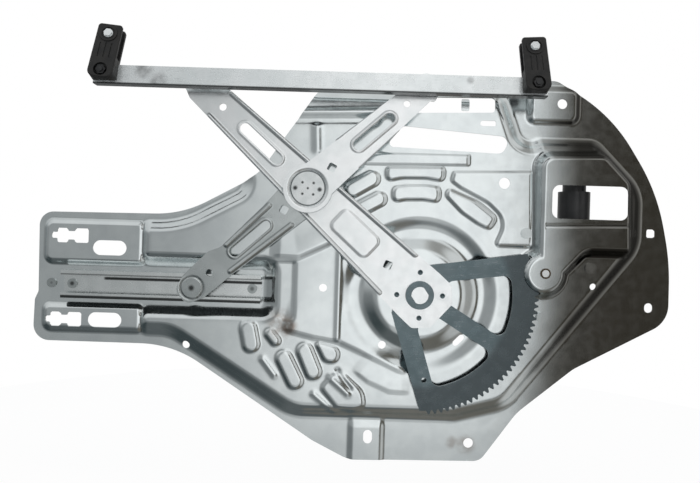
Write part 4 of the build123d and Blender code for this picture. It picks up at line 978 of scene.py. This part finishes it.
# Tarnished brown with painted dark reflection on the right side
screw_steel = surface(
    "screw_steel", (0.69, 0.74, 0.75), (0.74, 0.79, 0.795), (0.18, 0.25), grain=60, bump=0.03, tarnish_and_dark_reflection=0.85,
)
pin_steel = surface(
    "pin_steel", (0.42, 0.46, 0.46), (0.5, 0.54, 0.54), (0.25, 0.33), grain=60, bump=0.03,
    dots=[
        (*REAR_PIN, 4.2, 0.9), (*GUIDE_RIVETS[0], 3.2, 0.85), (*GUIDE_RIVETS[1], 3.2, 0.6),
        (*TAB_RIVET, 2.0, 0.4),
    ],
)
hub_steel = surface(
    "hub_steel", (0.70, 0.74, 0.745), (0.8, 0.83, 0.835), (0.2, 0.28), grain=70, bump=0.04,
    dots=[(HUB[0] + dx, HUB[1] + dy, reach, 0.95) for dx, dy, reach in HUB_MARKS],
)
# Painted shade in its hollows and painted highlight on its crests
bright = surface(
    "bright_steel", (0.89, 0.925, 0.93), (0.95, 0.97, 0.975), (0.18, 0.25), metallic=0.82, grain=50,
    scratch=0.15, bump=0.025, pressed=True,
)
slate = surface(
    "dark_steel", (0.14, 0.185, 0.20), (0.165, 0.21, 0.225), (0.24, 0.34), metallic=0.85, grain=40,
    scratch=0.4, scratch_colour=(0.35, 0.38, 0.4), bump=0.03, rim=(0, 0, 86, 95, 0.75),
)
plastic = surface(
    "black_plastic", (0.014, 0.014, 0.014), (0.02, 0.019, 0.018), (0.4, 0.55), metallic=0.0, grain=120,
    bump=0.12, specular=0.35,
)
paint = surface(
    "black_paint", (0.02, 0.021, 0.022), (0.03, 0.03, 0.031), (0.3, 0.4), metallic=0.2, grain=80, bump=0.05,
)
white = surface(
    "white_plastic", (0.62, 0.62, 0.6), (0.68, 0.68, 0.66), (0.35, 0.45), metallic=0.0, grain=90, bump=0.04,
)
rubber = surface(
    "liner_rubber", (0.015, 0.015, 0.015), (0.022, 0.022, 0.022), (0.7, 0.8), metallic=0.0, grain=150,
    bump=0.15,
)
bronze = surface("bronze", (0.10, 0.085, 0.065), (0.14, 0.115, 0.085), (0.25, 0.35), grain=90, bump=0.04)
ferrite = surface(
    "ferrite", (0.03, 0.03, 0.032), (0.04, 0.04, 0.042), (0.6, 0.7), metallic=0.1, grain=120, bump=0.1,
)

SLOT_MATERIALS = {
    "galvanised_sheet": galvanised, "bright_steel": bright, "dark_steel": slate, "black_plastic": plastic,
    "black_paint": paint, "white_plastic": white, "liner_rubber": rubber, "bronze": bronze,
    "ferrite": ferrite,
}
NODE_MATERIALS = {
    "fixed_guide_channel": guide_steel, "guide_rivets": pin_steel, "tab_rivet": pin_steel,
    "rear_arm_pin": pin_steel, "centre_hub": hub_steel, "lift_rail": rail_steel, "motor_screws": screw_steel,
}
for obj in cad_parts.values():
    for material_slot in obj.material_slots:
        stem = material_slot.material.name.split(".")[0] if material_slot.material else ""
        if stem in SLOT_MATERIALS:
            material_slot.material = SLOT_MATERIALS[stem]
for name, material in NODE_MATERIALS.items():
    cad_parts[name].material_slots[0].material = material
for obj, material in (
    (panel, panel_steel), (main_arm, bright), (front_arm, bright), (rear_arm, worn_steel),
):
    obj.data.materials.append(material)

# Studio: each range is the direction from and to, then the brightness at each. For the screen ahead of
# the object, directions are measured across and up on it; elsewhere they are parts of a unit direction.
SCREEN_RIGHT_EDGE = (0.255, 0.30, 1.0, 0.45)
SCREEN_RIGHT_DARK = (0.295, 0.335, 1.0, 0.03)
SCREEN_FAR_RIGHT = (0.58, 0.8, 0.0, 0.75)
SCREEN_LEFT = (-0.27, 0.03, 0.45, 1.0)
SCREEN_FAR_LEFT = (-0.5, 0.2, 0.66, 1.0)
SCREEN_TOP = (0.25, 0.4, 0.0, 0.75)
SCREEN_BOTTOM = (-0.4, -0.26, 0.4, 0.0)
SCREEN_LOW = (-0.33, -0.19, 0.5, 1.0)
SCREEN_LEAN = 0.1
SCREEN_BLEND = (0.62, 0.84)
LEAST_DEPTH = 0.05
CEILING = (-0.15, 0.5, 0.0, 0.4)
CEILING_RIGHT = (0.12, 0.32, 1.0, 0.12)
GROUND = (-0.6, -0.1, -0.2, 0.0)
SIDE_RIGHT = (0.45, 0.65, 0.0, 0.4)
SIDE_RIGHT_END = (0.8, 0.92, 1.0, 0.2)
SIDE_LEFT = (-0.8, -0.3, -0.1, 0.0)
SIDE_SHADE = (0.15, 0.42, 1.0, 0.75)
SIDE_LEVEL = 0.28
SIDE_LEAST = 0.02
BEHIND = (0.5, 0.85, 0.0, 0.6)
BEHIND_ABOVE = (-0.16, 0.0, 0.1, 1.0)
WARMTH = (0.27, 0.4)
COOL_DARK = (0.03, 0.042, 0.045)
WARM_DARK = (0.088, 0.079, 0.062)
WHITE = (1.0, 1.0, 1.0)
AMBIENT = (0.62, 0.64, 0.66)

# Floor: round, with its radius and the x of its middle in metres. It lies where the rail is at its
# lowest, this many millimetres below the panel's lower edge.
RAIL_DROP = 58.0
FLOOR_R = 0.8
FLOOR_X = -0.3
FLOOR_CORNERS = 96
FLOOR_WHITE = 0.93
FLOOR_COLOUR = (0.8, 0.8, 0.8)


def screen_light(tree, across, up):
    """Brightness ahead of the object: bright in the middle, greyer to the left and dark to the right."""
    right = times(tree, remap(tree, across, *SCREEN_RIGHT_EDGE), remap(tree, across, *SCREEN_RIGHT_DARK))
    for value, edge in ((across, SCREEN_FAR_RIGHT), (up, SCREEN_TOP), (up, SCREEN_BOTTOM)):
        right = larger(tree, right, remap(tree, value, *edge))
    left = times(tree, remap(tree, across, *SCREEN_LEFT), remap(tree, across, *SCREEN_FAR_LEFT))
    return times(tree, times(tree, right, left), remap(tree, up, *SCREEN_LOW))


def side_light(tree, x, z):
    """Brightness above, below and beside the object."""
    above = times(tree, remap(tree, z, *CEILING), remap(tree, x, *CEILING_RIGHT))
    light = plus(tree, above, remap(tree, z, *GROUND))
    light = plus(tree, light, remap(tree, x, *SIDE_LEFT))
    light = times(tree, plus(tree, light, SIDE_LEVEL), remap(tree, x, *SIDE_SHADE))
    to_right = times(tree, remap(tree, x, *SIDE_RIGHT), remap(tree, x, *SIDE_RIGHT_END))
    return larger(tree, plus(tree, light, to_right), SIDE_LEAST)


def studio_colour(tree):
    """What metal sees in each direction."""
    x, y, z = axes(tree, node(tree, "ShaderNodeTexCoord").outputs["Generated"])
    facing = times(tree, y, -1.0)
    depth = larger(tree, facing, LEAST_DEPTH)
    up = combined(tree, "DIVIDE", z, depth)
    lean = larger(tree, times(tree, up, -SCREEN_LEAN), 0.0)
    across = plus(tree, combined(tree, "DIVIDE", x, depth), lean)
    light = mixed(
        tree, remap(tree, facing, *SCREEN_BLEND), side_light(tree, x, z), screen_light(tree, across, up),
    )
    behind = times(tree, remap(tree, y, *BEHIND), remap(tree, z, *BEHIND_ABOVE))
    dark = blend_colour(tree, remap(tree, across, *WARMTH), COOL_DARK, WARM_DARK)
    return blend_colour(tree, larger(tree, light, behind), dark, WHITE)


def background(tree, colour):
    """A background shader of one colour, or of a colour worked out by nodes."""
    n = node(tree, "ShaderNodeBackground")
    join(tree, n.inputs["Color"], (*colour, 1) if isinstance(colour, tuple) else colour)
    return n.outputs[0]


def add_world():
    """White for the camera, the studio for metal, and one even grey that lights everything."""
    world = bpy.data.worlds.new("studio")
    bpy.context.scene.world = world
    world.use_nodes = True
    tree = world.node_tree
    tree.nodes.clear()
    path = node(tree, "ShaderNodeLightPath")
    studio = background(tree, studio_colour(tree))
    lit = mixed_shader(tree, path.outputs["Is Glossy Ray"], background(tree, AMBIENT), studio)
    through = larger(tree, path.outputs["Is Camera Ray"], path.outputs["Is Transmission Ray"])
    seen = mixed_shader(tree, through, lit, background(tree, WHITE))
    out = node(tree, "ShaderNodeOutputWorld")
    tree.links.new(seen, out.inputs["Surface"])


def floor_material():
    """White to the camera but for the object's shadow, and clear to glossy rays."""
    material = bpy.data.materials.new("floor")
    material.use_nodes = True
    tree = material.node_tree
    tree.nodes.clear()
    path = node(tree, "ShaderNodeLightPath")
    diffuse = node(tree, "ShaderNodeBsdfDiffuse", in_Color=(*FLOOR_COLOUR, 1))
    glow = node(tree, "ShaderNodeEmission", in_Strength=1.0)
    clear = node(tree, "ShaderNodeBsdfTransparent")
    white_share = times(tree, path.outputs["Is Camera Ray"], FLOOR_WHITE)
    seen = mixed_shader(tree, white_share, diffuse.outputs[0], glow.outputs[0])
    seen = mixed_shader(tree, path.outputs["Is Glossy Ray"], seen, clear.outputs[0])
    out = node(tree, "ShaderNodeOutputMaterial")
    tree.links.new(seen, out.inputs["Surface"])
    return material


def add_floor(level):
    """A round floor at a level."""
    turns = np.arange(FLOOR_CORNERS) * 2 * math.pi / FLOOR_CORNERS
    ring = [(FLOOR_R * math.cos(a) + FLOOR_X, FLOOR_R * math.sin(a), level) for a in turns]
    mesh = bpy.data.meshes.new("floor")
    mesh.from_pydata(ring, [], [list(range(FLOOR_CORNERS))])
    floor = bpy.data.objects.new("floor", mesh)
    bpy.context.scene.collection.objects.link(floor)
    mesh.materials.append(floor_material())


def add_lamp(name, place, aim, size, energy):
    """A square lamp that lights the object and doesn't show in its metal."""
    data = bpy.data.lights.new(name, "AREA")
    data.energy, data.size = energy, size
    lamp = bpy.data.objects.new(name, data)
    lamp.location = place
    lamp.rotation_euler = (Vector(aim) - Vector(place)).to_track_quat("-Z", "Y").to_euler()
    lamp.visible_glossy = False
    bpy.context.scene.collection.objects.link(lamp)


def add_camera():
    """Level with the panel's middle and square to it, rolled as the photograph is."""
    focal_px, picture_width, distance_mm, roll = 660.0, 700.0, 660.0, math.radians(1.75)
    middle = (-70.1, 50.8)
    data = bpy.data.cameras.new("camera")
    data.sensor_width = 36.0
    data.lens = data.sensor_width * focal_px / picture_width
    data.clip_start = 0.01
    camera = bpy.data.objects.new("camera", data)
    c, s = math.cos(roll), math.sin(roll)
    x, y, z = to_frame([(*middle, PLATEAU + distance_mm)])[0]
    camera.matrix_world = Matrix(((c, -s, 0, x), (0, 0, -1, y), (s, c, 0, z), (0, 0, 0, 1)))
    bpy.context.scene.collection.objects.link(camera)
    bpy.context.scene.camera = camera


add_world()
add_floor(cad_low[2] - RAIL_DROP / 1000)
add_lamp("key", place=(0.2, -0.9, 1.5), aim=(-0.25, 0, 0.05), size=0.9, energy=6)
add_lamp("fill", place=(-1.5, -0.8, 0.5), aim=(-0.3, 0, 0.0), size=0.8, energy=3)
add_lamp("rear", place=(-0.3, 1.1, 0.9), aim=(-0.3, 0, 0.0), size=0.9, energy=7)
add_camera()
bpy.context.scene.view_settings.view_transform = "Standard"
